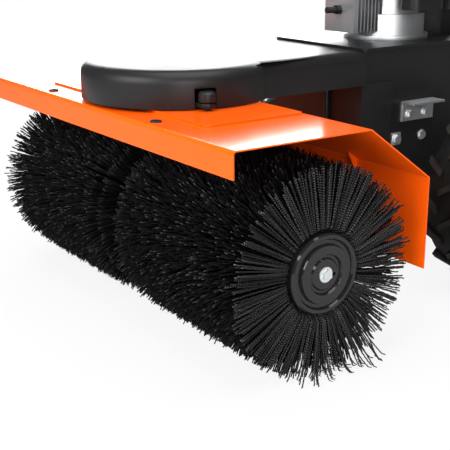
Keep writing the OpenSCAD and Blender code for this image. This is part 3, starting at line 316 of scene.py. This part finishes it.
@dataclass(frozen=True)
class Metal:
    """Bare or plated metal: bright, with cloudy patches and fine scratches along one axis."""

    name: str
    colour: Colour
    shade: Colour
    rough: float = 0.3
    rough_spread: float = 0.12
    patch_scale: float = 60.0
    patch_detail: float = 4.0
    scratch_scale: float = 900.0
    scratch_depth: float = 0.000004
    stretch: Triple = (0.06, 1.0, 1.0)

    def material(self) -> bpy.types.Material:
        """Builds the metal's material."""
        made, graph = new_graph(self.name)
        patch = graph.noise(self.patch_scale, self.patch_detail)
        turned = graph.add("ShaderNodeMapping", None, {"Vector": graph.place(), "Scale": self.stretch})
        scratch = graph.add("ShaderNodeTexNoise", None, {"Vector": turned, "Scale": self.scratch_scale})
        graph.surface({
            "Base Color": graph.mix(patch, self.colour, self.shade),
            "Metallic": 1.0,
            "Roughness": self.rough + self.rough_spread * (patch - NOISE_MIDDLE),
            "Normal": graph.bump(scratch, self.scratch_depth),
        })
        return made


@dataclass(frozen=True)
class Moulding:
    """Moulded plastic, rubber or cast skin: a fine grain, with a soft change of tone and gloss."""

    name: str
    colour: Colour
    shade: Colour
    rough: float = 0.5
    rough_spread: float = 0.15
    specular: float = 0.35
    metallic: float = 0.0
    grain_scale: float = 900.0
    grain_depth: float = 0.00005
    grain_detail: float = 2.0
    grain_rough: float = 0.6
    cloud_scale: float = 12.0
    cloud_detail: float = 4.0

    def tone(self, graph: Graph, cloud: Link) -> Link:
        """Works out the skin's colour.

        Args:
            graph: the material's graph.
            cloud: a soft noise from 0 to 1.
        Returns:
            The colour.
        """
        return graph.mix(cloud, self.colour, self.shade)

    def material(self) -> bpy.types.Material:
        """Builds the moulding's material."""
        made, graph = new_graph(self.name)
        cloud = graph.noise(self.cloud_scale, self.cloud_detail)
        grain = graph.noise(self.grain_scale, self.grain_detail, self.grain_rough)
        graph.surface({
            "Base Color": self.tone(graph, cloud),
            "Metallic": self.metallic,
            "Roughness": self.rough + self.rough_spread * (cloud - NOISE_MIDDLE),
            "Specular IOR Level": self.specular,
            "Normal": graph.bump(grain, self.grain_depth),
        })
        return made


@dataclass(frozen=True)
class Tread(Moulding):
    """Tyre rubber: a moulding that is lighter towards the tops of its lugs, a painted highlight that leaves
    the grooves darker.
    """

    # Colour of the painted highlight on the lug tops.
    lug_highlight: Colour = (0.022, 0.019, 0.0165)
    groove_r: float = 0.1995
    lug_r: float = 0.2080
    on_wheel: str = "tyre_left"
    off_axle: Triple = (0.0, 1.0, 1.0)

    def tone(self, graph: Graph, cloud: Link) -> Link:
        """Mixes a painted highlight into the rubber towards the lug tops, by the distance from the axle,
        which both tyres share.

        Args:
            graph: the material's graph.
            cloud: a soft noise from 0 to 1.
        Returns:
            The colour.
        """
        low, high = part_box(self.on_wheel)
        axle = (low + high) / 2
        offset = graph.vector("SUBTRACT", graph.place(), axle)
        spoke = graph.vector("MULTIPLY", offset, self.off_axle)
        sockets = {"Value": graph.length(spoke), "From Min": self.groove_r, "From Max": self.lug_r}
        lug_share = graph.add("ShaderNodeMapRange", {"interpolation_type": "SMOOTHSTEP"}, sockets)
        # Painted highlight: a lighter colour mixed in towards the lug tops, broken up by the cloud noise.
        return graph.mix(lug_share * cloud, super().tone(graph, cloud), self.lug_highlight)


@dataclass(frozen=True)
class Filament:
    """Black crimped bristle: painted highlights as bright beads on the waves, painted glints at the cut ends,
    and a tone for each strand that is partly random and partly painted light.
    """

    name: str
    colour: Colour
    shade: Colour
    tip: Colour
    bead_highlight: Colour
    dull: float = 0.62
    bright: float = 0.24
    specular: float = 0.1
    crimp: float = 0.0048
    crimp_depth: float = 0.0008
    bead_highlight_power: float = 4.0
    tone_power: float = 2.0
    tip_glint_power: float = 5.0

    def material(self) -> bpy.types.Material:
        """Builds the bristle's material."""
        made, graph = new_graph(self.name)
        tone = graph.attribute("tone")
        turns = graph.attribute("along") * (2 * math.pi / self.crimp)
        wave = (1 + turns.math("SINE")) / 2
        # The body goes from colour to shade by each strand's tone, whose range is partly painted light.
        body = graph.mix(tone, self.colour, self.shade)
        # Painted highlight: the bead colour is mixed in on the crests of the crimp wave, more on lighter
        # strands.
        highlighted = graph.mix(wave ** self.bead_highlight_power * tone ** self.tone_power, body, self.bead_highlight)
        graph.surface({
            # Painted glint: the tip colour lightens the cut ends, fully only on the glinting strands.
            "Base Color": graph.mix(graph.attribute("tip") ** self.tip_glint_power, highlighted, self.tip),
            "Roughness": self.dull - (self.dull - self.bright) * tone,
            "Specular IOR Level": self.specular,
            "Normal": graph.bump(wave, self.crimp_depth),
        })
        return made


class Finish(Enum):
    """The finishes, each named as the record's slot, and one more for the bristles at the brush's ends: a lit
    copy of the bristle, glossier and with brighter painted glints.
    """

    ORANGE_PAINT = Paint("orange_paint", (0.97, 0.114, 0.004), (0.93, 0.097, 0.003), rough=0.15,
                         rough_spread=0.04, specular=0.11, coat=0.06)
    BLACK_PAINT = Paint("black_paint", (0.007, 0.007, 0.008), (0.012, 0.012, 0.013), rough=0.36,
                        rough_spread=0.12, specular=0.22, coat_rough=0.1, peel_scale=600.0,
                        peel_depth=0.00007)
    BLACK_GLOSS = Paint("black_gloss", (0.010, 0.010, 0.011), (0.014, 0.014, 0.015), rough=0.08,
                        rough_spread=0.03)
    ZINC = Metal("zinc", (0.70, 0.73, 0.75), (0.82, 0.84, 0.84), rough=0.46, rough_spread=0.10,
                 patch_scale=40.0, scratch_scale=500.0, scratch_depth=0.000002)
    STEEL = Metal("steel", (0.46, 0.47, 0.49), (0.58, 0.59, 0.60), rough=0.36, rough_spread=0.10,
                  patch_scale=40.0, scratch_scale=500.0, scratch_depth=0.000002)
    BRONZE = Metal("bronze", (0.55, 0.36, 0.15), (0.42, 0.27, 0.10), rough=0.35)
    CAST_METAL = Moulding("cast_metal", (0.46, 0.47, 0.48), (0.58, 0.59, 0.60), rough=0.45, rough_spread=0.2,
                          specular=0.5, metallic=1.0, grain_scale=700.0, grain_depth=0.00018)
    BLACK_PLASTIC = Moulding("black_plastic", (0.008, 0.008, 0.009), (0.014, 0.014, 0.015), rough=0.40,
                             rough_spread=0.12, specular=0.24)
    RUBBER = Moulding("rubber", (0.009, 0.009, 0.009), (0.015, 0.015, 0.015), rough=0.7)
    TYRE = Tread("tyre", (0.0015, 0.0015, 0.0015), (0.005, 0.0047, 0.0044), rough=0.62, rough_spread=0.2,
                 specular=0.16, grain_scale=500.0, grain_depth=0.0003, cloud_scale=38.0)
    BRISTLE = Filament("bristle", (0.0016, 0.0016, 0.0018), (0.010, 0.010, 0.0105),
                       tip=(0.06, 0.06, 0.062), bead_highlight=(0.18, 0.18, 0.185))
    # Lit copy of the bristle for the end face, with brighter painted glints at the cut ends.
    BRISTLE_END = Filament("bristle_end", (0.002, 0.002, 0.0022), (0.005, 0.005, 0.0053),
                           tip=(0.10, 0.10, 0.103), bead_highlight=(0.15, 0.15, 0.154), dull=0.50, bright=0.28,
                           specular=0.22)


class Wardrobe:
    """Keeps one material for each finish."""

    def __init__(self) -> None:
        """Builds every finish once."""
        self.materials = {finish.value.name: finish.value.material() for finish in Finish}

    def dress(self, piece: bpy.types.Object, slot: str) -> None:
        """Gives a piece one finish.

        Args:
            piece: the object, a solid of the frame or a new piece.
            slot: the record's slot.
        """
        if not piece.material_slots:
            piece.data.materials.append(None)
        for place in piece.material_slots:
            place.link = "OBJECT"
            place.material = self.materials[slot]


class Edge(Enum):
    """How much an edge of a solid is eased, in metres."""

    SHEET = 0.0006
    PRESSED = 0.0010
    CAST = 0.0018


EASED_NODES = {
    Edge.SHEET: ("hood", "top_plate", "side_brackets", "case_frame", "engine_deck", "boom", "front_cover"),
    Edge.PRESSED: ("drive_cover", "clamp_knob", "control_panel", "swivel_housing", "head_bolts", "end_bolts",
                   "case_bolts"),
    Edge.CAST: ("engine_base", "engine_cylinder", "transaxle"),
}
SMOOTH_NODES = ("drive_cover", "fuel_tank", "control_panel", "blower_housing", "muffler", "air_cleaner")


@dataclass
class Solids:
    """The frame's solids, dressed by their slots, with eased edges and smooth rounds."""

    wardrobe: Wardrobe
    ease_angle: float = math.radians(32)
    ease_steps: int = 2
    weld_gap: float = 1e-6

    def smoothing(self) -> bpy.types.NodeTree:
        """Makes a modifier's graph that shades a mesh smooth, except over edges sharper than the ease angle.

        Returns:
            The graph.
        """
        tree = bpy.data.node_groups.new("smoothing", "GeometryNodeTree")
        for way in ("INPUT", "OUTPUT"):
            tree.interface.new_socket("Geometry", in_out=way, socket_type="NodeSocketGeometry")
        graph = Graph(tree)
        mesh = graph.add("NodeGroupInput")
        sharp = graph.add("GeometryNodeInputMeshEdgeAngle").math("GREATER_THAN", self.ease_angle)
        settled = graph.add("GeometryNodeSetMeshNormal", {"mode": "SHARPNESS"}, {
            "Mesh": mesh, "Remove Custom": True, "Edge Sharpness": sharp, "Face Sharpness": False})
        graph.add("NodeGroupOutput", None, {0: settled})
        return tree

    def weld(self, piece: bpy.types.Object) -> None:
        """Joins a solid's loose triangles, once."""
        if "weld" not in piece.modifiers:
            piece.modifiers.new("weld", "WELD").merge_threshold = self.weld_gap

    def ease(self, piece: bpy.types.Object, width: float) -> None:
        """Bevels a solid's sharp edges, so that they catch the light.

        Args:
            piece: the solid.
            width: the bevel's width.
        """
        self.weld(piece)
        bevel = piece.modifiers.new("ease", "BEVEL")
        bevel.width = width
        bevel.segments = self.ease_steps
        bevel.limit_method = "ANGLE"
        bevel.angle_limit = self.ease_angle

    def build(self) -> None:
        """Dresses every solid, eases edges and smooths rounds."""
        for row in frame["record"]["subparts"]:
            self.wardrobe.dress(frame["nodes"][row["node"]], row["material_slot"])
            LOG.info("%s: %s", row["node"], row["material_slot"])
        for edge, nodes in EASED_NODES.items():
            for node in nodes:
                self.ease(frame["nodes"][node], edge.value)
        smoothing = self.smoothing()
        for node in SMOOTH_NODES:
            piece = frame["nodes"][node]
            self.weld(piece)
            piece.modifiers.new("smoothing", "NODES").node_group = smoothing


def mesh_piece(name: str, points: np.ndarray, quads: np.ndarray, caps: np.ndarray) -> bpy.types.Object:
    """Puts arrays into a new mesh object.

    Args:
        name: the piece's name.
        points: N by 3 places.
        quads: faces of four corners.
        caps: faces of three corners.
    Returns:
        The object, smooth shaded.
    """
    mesh = bpy.data.meshes.new(name)
    mesh.vertices.add(len(points))
    mesh.vertices.foreach_set("co", points.astype(np.float32).ravel())
    corners = np.concatenate([quads.ravel(), caps.ravel()]).astype(np.int32)
    starts = np.concatenate([np.arange(len(quads)) * 4, quads.size + np.arange(len(caps)) * 3])
    mesh.loops.add(len(corners))
    mesh.loops.foreach_set("vertex_index", corners)
    mesh.polygons.add(len(starts))
    mesh.polygons.foreach_set("loop_start", starts.astype(np.int32))
    mesh.polygons.foreach_set("use_smooth", np.ones(len(starts), bool))
    mesh.update(calc_edges=True)
    piece = bpy.data.objects.new(name, mesh)
    bpy.context.scene.collection.objects.link(piece)
    return piece


def point_values(piece: bpy.types.Object, name: str, values: np.ndarray) -> None:
    """Stores one number for each point of a piece.

    Args:
        piece: the mesh object.
        name: the attribute's name.
        values: as many numbers as points.
    """
    attribute = piece.data.attributes.new(name, "FLOAT", "POINT")
    attribute.data.foreach_set("value", values.astype(np.float32))


class Side(Enum):
    """The two halves of the brush."""

    LEFT = 1
    RIGHT = -1


@dataclass(frozen=True)
class Band:
    """Some rows of one brush half, with the shape, tones and finish of their strands."""

    name: str
    rows: tuple[int, int]
    in_tuft: int
    strand_r: float
    splay: float
    steps: int
    tones: tuple[float, float]
    flare: float = 0.0
    finish: Finish = Finish.BRISTLE

    def triangles(self) -> int:
        """Triangles of one strand: its sides and its two caps."""
        return 2 * STRAND_SIDES * self.steps + 2


# Tone ranges are painted light: the end rows, which face the lamps, get light tones and the lit end finish,
# the gap rows a middle range for a painted sparkle, and the fringe and field rows dark tones for the shaded
# front.
BANDS = (
    Band("end", (21, 22), in_tuft=7, strand_r=0.00145, splay=0.0045, steps=22, tones=(0.30, 1.0), flare=0.018,
         finish=Finish.BRISTLE_END),
    Band("fringe", (19, 21), in_tuft=8, strand_r=0.00130, splay=0.0080, steps=14, tones=(0.0, 0.25),
         flare=0.009),
    Band("gap", (0, 2), in_tuft=9, strand_r=0.00130, splay=0.0080, steps=14, tones=(0.0, 0.60)),
    Band("field", (2, 19), in_tuft=9, strand_r=0.00130, splay=0.0082, steps=7, tones=(0.0, 0.12)),
)


@dataclass(frozen=True)
class Strays:
    """Long strands that lie splayed out on the floor beyond the brush's end."""

    count: int = 34
    reach: float = 0.040
    reach_shares: tuple[float, float] = (0.2, 1.0)
    reach_power: float = 1.5
    angles: tuple[float, float] = (math.radians(-112), math.radians(-52))
    root_in: float = 0.004
    mid_out: float = 0.008
    mid_share: float = 0.93
    spreads: tuple[float, float] = (1.0, 1.5)


@dataclass
class BrushHalf:
    """One half of the brush: rows of tufts round a core, each tuft a splayed bunch of crimped strands."""

    side: Side
    wardrobe: Wardrobe
    rows: int = 22
    tufts: int = 60
    root_sink: float = 0.010
    tip_r: float = 0.1965
    tip_spread: float = 0.0040
    tuft_r: float = 0.0026
    tuft_jitter: float = 0.06
    bunch_share: float = 0.35
    end_lean: float = 0.003
    end_room: float = 0.010
    gap_lean: float = 0.022
    gap_half: float = 0.0325
    gap_room: float = 0.002
    neck_half: float = 0.0540
    neck_low: float = 0.1790
    lean_rows: int = 4
    lean_power: float = 1.5
    lean_shares: tuple[float, float] = (0.7, 1.3)
    mid_lean: float = 0.75
    bend_at: float = 0.28
    bow: float = 0.0024
    crimp: float = 0.0005
    crimp_rise: float = 6.0
    flare_from: float = 0.0740
    flare_to: float = 0.0860
    floor_gap: float = 0.0016
    slide_out: float = 1.2
    slide_along: float = 2.0
    slide_back: float = 0.02
    wave_shift: float = 0.01
    # Shares of the painted glint at the cut ends.
    glint_share: float = 0.12
    dull_tip: float = 0.12
    most_triangles: int = 180_000
    seed: int = 11
    stray: Strays = Strays()
    bands: tuple[Band, ...] = BANDS

    def __post_init__(self) -> None:
        """Reads the brush's place from the frame."""
        low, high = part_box(self.node)
        shaft_low, shaft_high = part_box("brush_shaft")
        core_low, core_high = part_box("core_" + self.side.name.lower())
        self.axis = (shaft_low + shaft_high) / 2
        self.inner, self.outer = sorted((abs(low.x), abs(high.x)))
        self.root_r = (core_high.y - core_low.y) / 2 - self.root_sink
        self.rng = np.random.default_rng(self.seed + self.side.value)

    @property
    def node(self) -> str:
        """Name of the solid that the strands stand for."""
        return "bristles_" + self.side.name.lower()

    def fade(self, rows_away: np.ndarray) -> np.ndarray:
        """Share of a lean that is left n rows away: (1 - n / lean_rows) ^ lean_power, and not below 0."""
        return np.clip(1 - rows_away / self.lean_rows, 0, 1) ** self.lean_power

    def leans(self) -> np.ndarray:
        """Lean of each row along the shaft: outward at the end and inward at the gap, easing off."""
        from_gap = np.arange(self.rows)
        from_end = from_gap[::-1]
        return self.end_lean * self.fade(from_end) - self.gap_lean * self.fade(from_gap)

    def spot(self, x: np.ndarray, radius: "np.ndarray | float", angle: np.ndarray) -> np.ndarray:
        """Places at a radius and an angle round the shaft.

        Args:
            x: distances from the machine's middle along the shaft.
            radius: distances from the shaft.
            angle: angles round it, from straight back.
        Returns:
            N by 3 places, from the shaft's middle.
        """
        across = radius * np.cos(angle)
        up = radius * np.sin(angle)
        return np.stack([self.side.value * x, across, up], -1).reshape(-1, 3)

    def courses(self, band: Band, row: np.ndarray) -> tuple[np.ndarray, np.ndarray, np.ndarray]:
        """Roots, middles and tips of all the strands of some rows.

        A tuft stands at an even angle, each row turned by half a step. Its strands start inside a small round
        hole and end in a splayed bunch, at a normal spread round the tuft's own line. A strand that leans
        does so near its root, and one that leans over the neck of the gear case is cut short.

        Args:
            band: the band that the rows are of.
            row: the rows' numbers.
        Returns:
            Three arrays of N by 3: along the shaft, across it and up, from the shaft's middle.
        """
        rng = self.rng
        shape = (len(row), self.tufts, band.in_tuft)
        pitch = (self.outer - self.inner) / self.rows
        x = self.inner + (row + 0.5) * pitch
        step = 2 * math.pi / self.tufts
        angle = (np.arange(self.tufts)[None, :] + 0.5 * (row[:, None] % 2)) * step
        angle = angle + rng.normal(0, self.tuft_jitter * step, angle.shape)
        hole = self.tuft_r * np.sqrt(rng.random(shape))
        turn = 2 * math.pi * rng.random(shape)
        root_x = x[:, None, None] + hole * np.cos(turn)
        root_a = angle[:, :, None] + hole * np.sin(turn) / self.root_r
        radius = self.tip_r + rng.normal(0, self.tip_spread, shape)
        bunch_x = rng.normal(0, self.bunch_share * band.splay, shape[:2])[:, :, None]
        lean = self.leans()[row][:, None, None] * rng.uniform(*self.lean_shares, shape)
        tip_x = root_x + lean + bunch_x + rng.normal(0, band.splay, shape)
        tip_x = np.clip(tip_x, self.gap_half, self.outer + self.end_lean + self.end_room)
        radius = np.where(tip_x < self.neck_half, np.minimum(radius, self.neck_low), radius)
        tip_a = root_a + rng.normal(0, band.splay, shape) / self.tip_r
        mid_r = self.root_r + self.bend_at * (self.tip_r - self.root_r)
        mid_x = np.clip(root_x + self.mid_lean * lean, self.gap_half + self.gap_room, None)
        mid_a = (root_a + tip_a) / 2 + rng.normal(0, self.bow, shape) / mid_r
        root = self.spot(root_x, self.root_r, root_a)
        return root, self.spot(mid_x, mid_r, mid_a), self.spot(tip_x, radius, tip_a)

    def stray_courses(self) -> tuple[np.ndarray, np.ndarray, np.ndarray]:
        """Roots, middles and tips of the strays, whose tips lie on the floor.

        Returns:
            Three arrays of N by 3, as for the rows.
        """
        rng, stray = self.rng, self.stray
        floor = self.floor_gap - self.axis.z
        angle = rng.uniform(*stray.angles, stray.count)
        share = rng.uniform(*stray.reach_shares, stray.count) ** stray.reach_power
        reach = self.outer + share * stray.reach
        root = self.spot(np.full(stray.count, self.outer - stray.root_in), self.root_r, angle)
        mid = self.spot(np.full(stray.count, self.outer + stray.mid_out), stray.mid_share * self.tip_r, angle)
        across = mid[:, 1] * rng.uniform(*stray.spreads, stray.count)
        tip = np.stack([self.side.value * reach, across, np.full(stray.count, floor)], 1)
        mid[:, 2] = np.maximum(mid[:, 2], floor)
        return root, mid, tip

    def flared(self, line: np.ndarray, flare: float) -> np.ndarray:
        """Moves strands outwards along the shaft by a smooth step of their radius, to clear the end disc.

        The step is flare * s^2 * (3 - 2 s), where s rises from 0 to 1 between two radii.

        Args:
            line: N by steps by 3 places, from the shaft's middle.
            flare: the whole step, in metres.
        Returns:
            The moved places.
        """
        radius = np.hypot(line[:, :, 1], line[:, :, 2])
        share = np.clip((radius - self.flare_from) / (self.flare_to - self.flare_from), 0, 1)
        out = line.copy()
        out[:, :, 0] += self.side.value * flare * share ** 2 * (3 - 2 * share)
        return out

    def settled(self, line: np.ndarray, strand_r: float) -> np.ndarray:
        """Lays what would be under the floor on it, and slides it away by a multiple of the depth.

        Args:
            line: N by steps by 3 places, from the shaft's middle.
            strand_r: the strands' radius.
        Returns:
            The same places, none below the floor.
        """
        floor = self.floor_gap + strand_r - self.axis.z
        under = np.clip(floor - line[:, :, 2], 0, None)
        out = line.copy()
        out[:, :, 2] += under
        out[:, :, 0] += self.slide_out * under * np.sign(line[:, :1, 0])
        out[:, :, 1] += self.slide_along * under * np.sign(line[:, -1:, 1] + self.slide_back)
        return out

    def strands(self, root: np.ndarray, mid: np.ndarray, tip: np.ndarray,
                band: Band) -> tuple[np.ndarray, ...]:
        """Three-sided strands from roots to tips.

        The middle line is (1 - t)^2 root + 2 t (1 - t) mid + t^2 tip, with a zigzag crimp of one wave in two
        steps across it. Where it would go below the floor it lies on it, and slides outwards.

        Args:
            root: N by 3 roots.
            mid: N by 3 points that the strands bend towards.
            tip: N by 3 tips.
            band: gives the strands' radius, steps and flare.
        Returns:
            Points, quads, caps, and for each point its length along and its painted glint at the tip.
        """
        rng, n, steps, sides = self.rng, len(root), band.steps, STRAND_SIDES
        t = np.linspace(0, 1, steps + 1)[None, :, None]
        line = (1 - t) ** 2 * root[:, None] + 2 * t * (1 - t) * mid[:, None] + t ** 2 * tip[:, None]
        run = tip - root
        d = run / np.linalg.norm(run, axis=1)[:, None]
        u = np.cross(np.array([1.0, 0.0, 0.0]), d)
        u /= np.linalg.norm(u, axis=1)[:, None]
        v = np.cross(d, u)
        turn = 2 * math.pi * rng.random(n)
        across = np.cos(turn)[:, None] * u + np.sin(turn)[:, None] * v
        sway = np.where(np.arange(steps + 1) % 2 == 0, 1.0, -1.0)
        zigzag = sway * np.clip(self.crimp_rise * t[0, :, 0], 0, 1) * self.crimp
        line = self.flared(line + zigzag[None, :, None] * across[:, None, :], band.flare)
        line = self.settled(line, band.strand_r)
        turns = 2 * math.pi * np.arange(sides) / sides
        ring = np.cos(turns)[None, :, None] * u[:, None, :] + np.sin(turns)[None, :, None] * v[:, None, :]
        points = line[:, :, None, :] + band.strand_r * ring[:, None, :, :]
        points = points.reshape(-1, 3) + np.array([0.0, self.axis.y, self.axis.z])
        base = (np.arange(n) * (steps + 1) * sides)[:, None, None]
        low = base + (np.arange(steps) * sides)[None, :, None] + np.arange(sides)[None, None, :]
        high = low + sides
        quads = np.stack([low, np.roll(low, -1, 2), np.roll(high, -1, 2), high], -1).reshape(-1, 4)
        first = base[:, 0, :] + np.arange(sides)[::-1]
        last = base[:, 0, :] + steps * sides + np.arange(sides)
        length = np.linalg.norm(np.diff(line, axis=1), axis=2).cumsum(1)
        along = np.concatenate([np.zeros((n, 1)), length], 1) + rng.random(n)[:, None] * self.wave_shift
        # Painted glint: a share of the strands get a bright cut end and the rest a dull one, stored on the
        # tip ring only.
        glint = np.where(rng.random(n) < self.glint_share, 1.0, self.dull_tip)
        tip_glint = (np.arange(steps + 1) == steps) * glint[:, None]
        return points, quads, np.concatenate([first, last]), np.repeat(along, sides), np.repeat(tip_glint, sides)

    def piece(self, name: str, courses: tuple[np.ndarray, ...], band: Band) -> bpy.types.Object:
        """One piece of many strands.

        Args:
            name: the piece's name.
            courses: roots, middles and tips.
            band: the strands' shape and tones.
        Returns:
            The piece, dressed and riding on the brush.
        """
        points, quads, caps, along, tip_glint = self.strands(*courses, band)
        made = mesh_piece(name, points, quads, caps)
        point_values(made, "along", along)
        point_values(made, "tip", tip_glint)
        count = len(courses[0])
        # Each strand's tone is random within its band's range, and the ranges are painted light.
        point_values(made, "tone", np.repeat(self.rng.uniform(*band.tones, count), len(points) // count))
        self.wardrobe.dress(made, band.finish.value.name)
        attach(made, "brush")
        LOG.info("%s: %d strands, %d triangles", name, count, count * band.triangles())
        return made

    def build(self) -> None:
        """Makes each band, in as many pieces as it needs, and the strays."""
        for band in self.bands:
            rows = np.arange(*band.rows)
            in_row = self.tufts * band.in_tuft * band.triangles()
            parts = math.ceil(len(rows) * in_row / self.most_triangles)
            for number, share in enumerate(np.array_split(rows, parts), 1):
                name = f"{self.node}_{band.name}_{number}"
                self.piece(name, self.courses(band, share), band)
        self.piece(self.node + "_strays", self.stray_courses(), self.bands[0])
        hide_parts(self.node)


@dataclass
class View:
    """The photograph's camera, solved from the hood's edges and the end disc."""

    focal_px: float = 952.881
    frame_px: float = 450.0
    middle_px: float = 244.601
    yaw: float = 0.971
    pitch: float = 0.321
    roll: float = -0.007
    place: Place = (1.708845, -1.658070, 0.783279)
    sensor: float = 36.0

    def turn(self) -> Matrix:
        """The camera's turn: yaw about the vertical, then pitch, then roll about the line of sight.

        Returns:
            A matrix whose columns point across, above and behind the camera.
        """
        level = math.cos(self.pitch)
        back = Vector((math.sin(self.yaw) * level, -math.cos(self.yaw) * level, math.sin(self.pitch)))
        right = (-back).cross(Vector((0, 0, 1))).normalized()
        up = right.cross(-back)
        across = math.cos(self.roll) * right + math.sin(self.roll) * up
        above = math.cos(self.roll) * up - math.sin(self.roll) * right
        return Matrix((across, above, back)).transposed().to_4x4()

    def build(self) -> None:
        """Makes the camera and sets it as the scene's own."""
        data = bpy.data.cameras.new("camera")
        data.sensor_width = self.sensor
        data.lens = self.sensor * self.focal_px / self.frame_px
        data.shift_y = (self.middle_px - self.frame_px / 2) / self.frame_px
        camera = bpy.data.objects.new("camera", data)
        camera.matrix_world = Matrix.Translation(self.place) @ self.turn()
        bpy.context.scene.collection.objects.link(camera)
        bpy.context.scene.camera = camera


@dataclass(frozen=True)
class Softbox:
    """A square lamp that looks at a point."""

    name: str
    place: Place
    aim: Place
    size: tuple[float, float]
    power: float

    def build(self) -> None:
        """Makes the lamp."""
        data = bpy.data.lights.new(self.name, "AREA")
        data.shape = "RECTANGLE"
        data.size, data.size_y = self.size
        data.energy = self.power
        lamp = bpy.data.objects.new(self.name, data)
        lamp.location = self.place
        lamp.rotation_euler = (Vector(self.aim) - Vector(self.place)).to_track_quat("-Z", "Y").to_euler()
        bpy.context.scene.collection.objects.link(lamp)


@dataclass
class Studio:
    """White studio: a pale floor that keeps a soft shadow, a white surround and soft lamps."""

    white: Colour = (1.0, 1.0, 1.0)
    floor_half: float = 14.0
    floor_colour: Colour = (0.64, 0.64, 0.64)
    floor_glow: float = 0.86
    glow_from: float = 1.2
    glow_to: float = 2.6
    ambient: float = 0.23
    gloss_level: float = 0.13
    lamps: tuple[Softbox, ...] = (
        Softbox("front_box", (0.4, -3.6, 2.0), (0.1, -0.5, 0.3), size=(2.6, 1.8), power=128.0),
        Softbox("top_box", (0.6, -0.4, 3.4), (0.1, -0.2, 0.3), size=(2.8, 2.8), power=97.0),
        Softbox("side_box", (3.0, -1.8, 1.2), (0.3, -0.5, 0.3), size=(1.6, 1.6), power=60.0),
        Softbox("back_box", (-2.7, 1.5, 1.25), (0.1, -0.6, 0.45), size=(3.0, 2.0), power=145.0),
    )

    def shown(self, graph: Graph) -> Link:
        """How white the surround looks to a ray: full to the camera and through glass, dimmer in a gloss.

        Args:
            graph: the graph of the world or the floor.
        Returns:
            The level, 0 for every other ray.
        """
        seen = graph.add("ShaderNodeLightPath", out="Is Camera Ray")
        glossy = seen.beside("Is Glossy Ray") * self.gloss_level
        return seen.math("MAXIMUM", glossy).math("MAXIMUM", seen.beside("Is Transmission Ray"))

    def surround(self) -> None:
        """Makes the world: white to look at, dimmer as a light."""
        world = bpy.data.worlds.new("surround")
        bpy.context.scene.world = world
        world.use_nodes = True
        graph = Graph(world.node_tree)
        gathered = self.ambient * graph.add("ShaderNodeLightPath", out="Is Diffuse Ray")
        strength = self.shown(graph).math("MAXIMUM", gathered)
        light = graph.add("ShaderNodeBackground", None, {"Color": (*self.white, 1.0), "Strength": strength})
        graph.add("ShaderNodeOutputWorld", None, {"Surface": light})

    def floor(self) -> None:
        """Makes the floor, part paint that takes the shadow and part glow that keeps it white to look at."""
        half = self.floor_half
        corners = np.array([[-half, -half, 0], [half, -half, 0], [half, half, 0], [-half, half, 0]])
        floor = mesh_piece("floor", corners, np.array([[0, 1, 2, 3]]), np.zeros((0, 3), int))
        material, graph = new_graph("floor")
        paint = graph.add("ShaderNodeBsdfDiffuse", None, {"Color": (*self.floor_colour, 1.0)})
        glow = graph.add("ShaderNodeEmission", None, {"Color": (*self.white, 1.0), "Strength": 1.0})
        fade = graph.add("ShaderNodeMapRange", {"interpolation_type": "SMOOTHSTEP"}, {
            "Value": graph.length(graph.place()), "From Min": self.glow_from, "From Max": self.glow_to,
            "To Min": self.floor_glow, "To Max": 1.0})
        share = fade * self.shown(graph)
        mixed = graph.add("ShaderNodeMixShader", None, {0: share, 1: paint, 2: glow})
        graph.add("ShaderNodeOutputMaterial", None, {"Surface": mixed})
        floor.data.materials.append(material)

    def build(self) -> None:
        """Makes the surround, the floor and the lamps."""
        self.surround()
        self.floor()
        for lamp in self.lamps:
            lamp.build()
        bpy.context.scene.view_settings.view_transform = "Standard"


def main() -> None:
    """Builds the pieces in order."""
    logging.basicConfig(level=logging.INFO, format="%(name)s: %(message)s")
    View().build()
    wardrobe = Wardrobe()
    Solids(wardrobe).build()
    for side in Side:
        BrushHalf(side, wardrobe).build()
    Studio().build()


if __name__ == "__main__":
    main()
